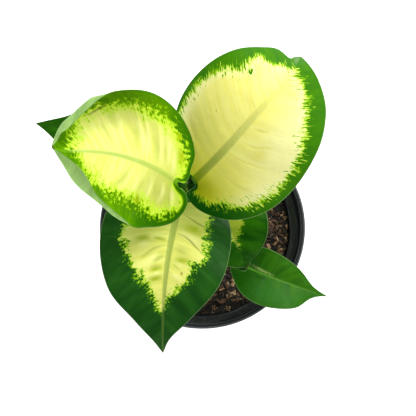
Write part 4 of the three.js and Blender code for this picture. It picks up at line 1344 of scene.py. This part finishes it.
def blade(leaf, number):
    """Points, faces and attributes of the closed blade."""
    rows, columns = leaf["grid"]
    s_row = np.linspace(0, 1, rows + 1)
    t_row = np.linspace(0, 1, columns + 1)
    s, t = np.meshgrid(s_row, t_row, indexing="ij")
    parts = {}
    for side, name in ((-1, "right"), (1, "left")):
        half = leaf[name]
        half["margin"], margin_length = smooth_path(half["outline"], 1600)
        part = half_looks(leaf, half, s, t)
        part["point"] = half_blade(leaf, half, side, s, t)
        flat = part.pop("flat")
        step_s = np.gradient(flat, s_row, axis=0)
        step_t = np.gradient(flat, t_row, axis=1)
        area = np.abs(step_s[..., 0] * step_t[..., 1] - step_s[..., 1] * step_t[..., 0])
        per_s = area / np.maximum(np.linalg.norm(step_t, axis=-1), 1e-6)
        ridge, swell = vein_relief(half, s, t, per_s, flat[..., 1], 10 * number + side)
        part["ridge"], part["swell"] = ridge, swell
        offset = 500 * (2 * number + (side > 0))
        part["vein_mm"] = np.stack([s * margin_length + offset, flat[..., 1], 0 * s], -1)
        part["flat_mm"] = np.stack([flat[..., 0] + offset, side * flat[..., 1], 0 * s], -1)
        parts[side] = part
    grid = {}
    for key in parts[1]:
        grid[key] = np.concatenate([parts[-1][key][:, :0:-1], parts[1][key]], axis=1)

    point = grid.pop("point")
    swell = grid["swell"]
    normal = unit(np.cross(np.gradient(point, axis=0), np.gradient(point, axis=1)))
    normal[0], normal[-1] = (midrib(leaf, u)[3] for u in (0, leaf["length"]))
    across = np.abs(grid["flat_mm"][..., 1])
    edge = grid["edge_mm"]
    half_thick = lerp(MARGIN_THICKNESS, BLADE_THICKNESS, 1 - np.exp(-edge / 3)) / 2
    inner = smooth_step(0.2, 3, edge)
    raised = leaf["ridge"] * grid["ridge"] + leaf["quilt"] * swell
    for kind, height in MARK_RELIEF.items():
        raised = raised + height * grid[kind]
    band = grid["rib_mm"] + across
    trough = -TROUGH * band * np.exp(-((across / (0.9 * band + 0.2)) ** 2))
    trough = trough * smooth_step(0.02, 0.2, grid["along"])
    fine = 0.06 * noise(grid["flat_mm"][..., :2], 3.1, 31) + 0.03 * noise(grid["flat_mm"][..., :2], 1.3, 32)
    relief = (raised + trough * smooth_step(1, 0.8, grid["along"]) + fine) * inner
    depth = rib_depth(leaf, grid["along"])
    reach = np.maximum(depth, 0.8)
    keel = depth * np.clip(1 - (across / reach) ** 2, 0, 1) ** 0.8 * inner ** 0.5
    below = (leaf["quilt"] * swell + fine) * inner * (1 - np.exp(-across / 2))
    top = point + normal * (half_thick + relief)[..., None]
    bottom = point + normal * (below - half_thick - keel)[..., None]

    # Number the points so that each end of the blade is one point on each face.
    wide = 2 * columns + 1
    body = np.arange((rows - 1) * wide).reshape(rows - 1, wide)
    upper = np.vstack([np.full((1, wide), body.size), body, np.full((1, wide), body.size + 1)])
    half_count = body.size + 2
    lower = upper + half_count
    rim = np.arange((rows - 1) * 2).reshape(rows - 1, 2) + 2 * half_count
    tips = 2 * half_count + rim.size
    rim = np.vstack([[tips, tips], rim, [tips + 1, tips + 1]])

    def listed(values, end=columns):
        return np.concatenate([values[1:-1].reshape(-1, *values.shape[2:]), values[[0, -1], end]])

    out = unit(point[:, [0, -1]] - point[:, [1, -2]])
    out[[0, -1]] = 0
    edge_points = point[:, [0, -1]] + out * MARGIN_THICKNESS / 2

    points = np.concatenate([listed(top), listed(bottom), listed(edge_points, 0)])
    attributes = {}
    for key, values in grid.items():
        attributes[key] = np.concatenate([listed(values), listed(values), listed(values[:, [0, -1]], 0)])
    under = np.concatenate([np.zeros(half_count), np.ones(half_count), np.zeros(rim[1:-1].size + 2)])
    attributes["under"] = under

    faces = []

    def skin(a, b, c, d):
        """Quads of four corner arrays, as triangles where two corners are one point."""
        for quad in np.stack([a.ravel(), b.ravel(), c.ravel(), d.ravel()], -1).tolist():
            corners = [k for k, after in zip(quad, quad[1:] + quad[:1]) if k != after]
            faces.append(tuple(corners))

    skin(upper[:-1, :-1], upper[1:, :-1], upper[1:, 1:], upper[:-1, 1:])
    skin(lower[:-1, :-1], lower[:-1, 1:], lower[1:, 1:], lower[1:, :-1])
    skin(rim[:-1, 0], rim[1:, 0], upper[1:, 0], upper[:-1, 0])
    skin(lower[:-1, 0], lower[1:, 0], rim[1:, 0], rim[:-1, 0])
    skin(upper[:-1, -1], upper[1:, -1], rim[1:, 1], rim[:-1, 1])
    skin(rim[:-1, 1], rim[1:, 1], lower[1:, -1], lower[:-1, -1])
    return points, faces, attributes


def petiole(leaf, extra=0.0, sides=PETIOLE_SIDES, steps=PETIOLE_STEPS):
    """The petiole's centre line, and its points and faces, from its sheath up into the midrib."""
    node, radius = leaf["petiole"]["node"], leaf["petiole"]["radius"]
    start = cane_centre(node)
    sheath = float(cane_radius(node)) + SHEATH_THICKNESS
    base, way, left, up = midrib(leaf, 0.0)
    end = base + up * (BLADE_THICKNESS / 4 - radius)
    keys = [start, start + (0, 0, SHEATH_RISE), *leaf["petiole"]["via"], end - way * PETIOLE_END, end]
    line, length = smooth_path(keys, steps)
    angle = angles_round(sides)

    def ring(centre, side, over, reach):
        return centre + np.outer(reach * np.cos(angle), side) + np.outer(reach * np.sin(angle), over)

    rings = []
    side = left
    tangents = unit(np.gradient(line, axis=0))
    for k in range(steps, -1, -1):
        share = k / steps
        side = unit(side - tangents[k] * (side @ tangents[k]))
        over = np.cross(tangents[k], side)
        fade = max(0, 1 - length * share / SHEATH_LENGTH) ** SHEATH_TAPER
        groove = GROOVE_DEPTH * (1 - fade) * min(1, 4 * (1 - share))
        dip = 1 - groove * np.exp(-(((angle - math.pi / 2) / GROOVE_WIDTH) ** 2))
        reach = (lerp(radius, sheath, fade) + extra) * dip
        rings.append(ring(line[k], side, over, reach))
    rings.reverse()
    root_depth = rib_depth(leaf, RIB_ROOT / leaf["length"]) / 4
    for share in np.linspace(0, 1, 9)[1:]:
        point, _, root_left, root_up = midrib(leaf, share * RIB_ROOT)
        reach = lerp(radius, root_depth, share) + extra
        sink = lerp(radius - BLADE_THICKNESS / 4, root_depth + BLADE_THICKNESS, share)
        centre = point - root_up * sink
        rings.append(ring(centre, root_left, root_up, reach))
    return line, tube(np.array(rings))


def make_leaf(leaf, number, inside):
    """One leaf as one piece: the blade, and the petiole with its sheath cut to clear what it clasps."""
    points, faces, attributes = blade(leaf, number)
    line, stalk = petiole(leaf)
    stalk_points, stalk_faces = cut(stalk, inside)
    _, which = nearest(stalk_points, line)
    offset = stalk_points - line[which]
    turn = np.arctan2(offset[:, 1], offset[:, 0])
    share = which / (len(line) - 1)
    count = len(stalk_points)
    extra = {
        "vein_mm": np.stack([turn * 2.4, share * 60, 0 * turn], -1),
        "flat_mm": stalk_points,
        "cream_mm": np.full(count, -FAR),
        "edge_mm": np.full(count, FAR),
        "rib_mm": np.full(count, -FAR),
        "stalk": np.ones(count),
        "stalk_top": smooth_step(0.7, 1, share),
    }
    size = len(points)
    attributes["stalk"], attributes["stalk_top"] = np.zeros(size), np.zeros(size)
    tip = midrib(leaf, leaf["length"])[0]
    to_tip = np.linalg.norm(points - tip, axis=1)
    brown = leaf["tip_brown"]
    if brown:
        attributes["brown"] = np.maximum(attributes["brown"], smooth_step(brown, 0.35 * brown, to_tip))
    # Darker towards the base, partly as painted shade at the crown.
    attributes["base_tone_and_shade"] = smooth_step(0.35, 0.0, attributes["along"])
    for key, values in attributes.items():
        more = extra.get(key, np.zeros((count,) + values.shape[1:]))
        attributes[key] = np.concatenate([values, more])
    points, faces = joined([(points, faces), (stalk_points, stalk_faces)])
    material = leaf_material(leaf, number)
    make_piece(leaf["name"] + "_blade", points, faces, material, leaf["slot"], leaf["name"], attributes)


def make_leaves():
    inside = [cane_room()]
    for number, leaf in enumerate(LEAVES):
        make_leaf(leaf, number, inside)
        inside.append(petiole(leaf, GAP, 24, 48)[1])


# ---------------------------------------------------------------- camera, light and floor

IMAGE_WIDTH = 416  # pixels
SENSOR = 36
FOCAL_PIXELS = 1025.2
CAMERA_TARGET = (3.5, 11.3, 115)
CAMERA_DISTANCE = 650
CAMERA_ELEVATION = 77
FLOOR_REACH = 12  # metres


def make_camera():
    elevation = math.radians(CAMERA_ELEVATION)
    back = Vector((0, -math.cos(elevation), math.sin(elevation)))
    right = Vector((1, 0, 0))
    up = back.cross(right)
    camera = bpy.data.objects.new("camera", bpy.data.cameras.new("camera"))
    camera.data.lens = SENSOR * FOCAL_PIXELS / IMAGE_WIDTH
    camera.data.sensor_width = SENSOR
    camera.data.clip_start, camera.data.clip_end = 0.01, 20
    camera.matrix_world = Matrix.Translation(
        (Vector(CAMERA_TARGET) + CAMERA_DISTANCE * back) * MM
    ) @ Matrix((right, up, back)).transposed().to_4x4()
    bpy.context.scene.collection.objects.link(camera)
    bpy.context.scene.camera = camera


def make_light(name, place, target, size, power, colour):
    lamp = bpy.data.lights.new(name, "AREA")
    lamp.shape, lamp.size, lamp.energy, lamp.color = "DISK", size, power, colour
    light = bpy.data.objects.new(name, lamp)
    way = Vector(target) - Vector(place)
    light.matrix_world = Matrix.Translation(place) @ way.to_track_quat("-Z", "Y").to_matrix().to_4x4()
    bpy.context.scene.collection.objects.link(light)


def make_studio():
    scene = bpy.context.scene
    scene.view_settings.view_transform = "Standard"
    world = bpy.data.worlds.new("studio")
    world.use_nodes = True
    world.node_tree.nodes["Background"].inputs[0].default_value = (1, 1, 1, 1)
    world.node_tree.nodes["Background"].inputs[1].default_value = 0.55
    scene.world = world
    make_light("key", (0.85, 0.8, 0.95), (0, 0, 0.15), 0.9, 20, (1, 0.985, 0.95))
    make_light("fill", (-0.95, -0.15, 0.7), (0, 0, 0.15), 0.8, 3, (0.95, 0.98, 1))

    make = Shader("floor_skin")
    where = make.where()
    cloud = make.noise(where, 6, 2.0, 0.5)
    colour = make.blend(make.ramp(cloud, 0.3, 0.7), paint("fafafa"), paint("fdfcfa"))
    make.surface.inputs["Emission Color"].default_value = (1, 1, 1, 1)
    make.surface.inputs["Emission Strength"].default_value = 0.8
    skin = make.finish(Base_Color=colour, Roughness=make.ramp(cloud, 0.3, 0.7, 0.8, 0.9))
    mesh = bpy.data.meshes.new("floor")
    corners = [(x * FLOOR_REACH, y * FLOOR_REACH, 0) for x, y in ((-1, -1), (1, -1), (1, 1), (-1, 1))]
    mesh.from_pydata(corners, [], [(0, 1, 2, 3)])
    mesh.materials.append(skin)
    floor = bpy.data.objects.new("floor", mesh)
    scene.collection.objects.link(floor)


# ---------------------------------------------------------------- the plant in its pot

make_camera()
make_studio()
make_pot()
make_soil()
make_cane()
make_leaves()
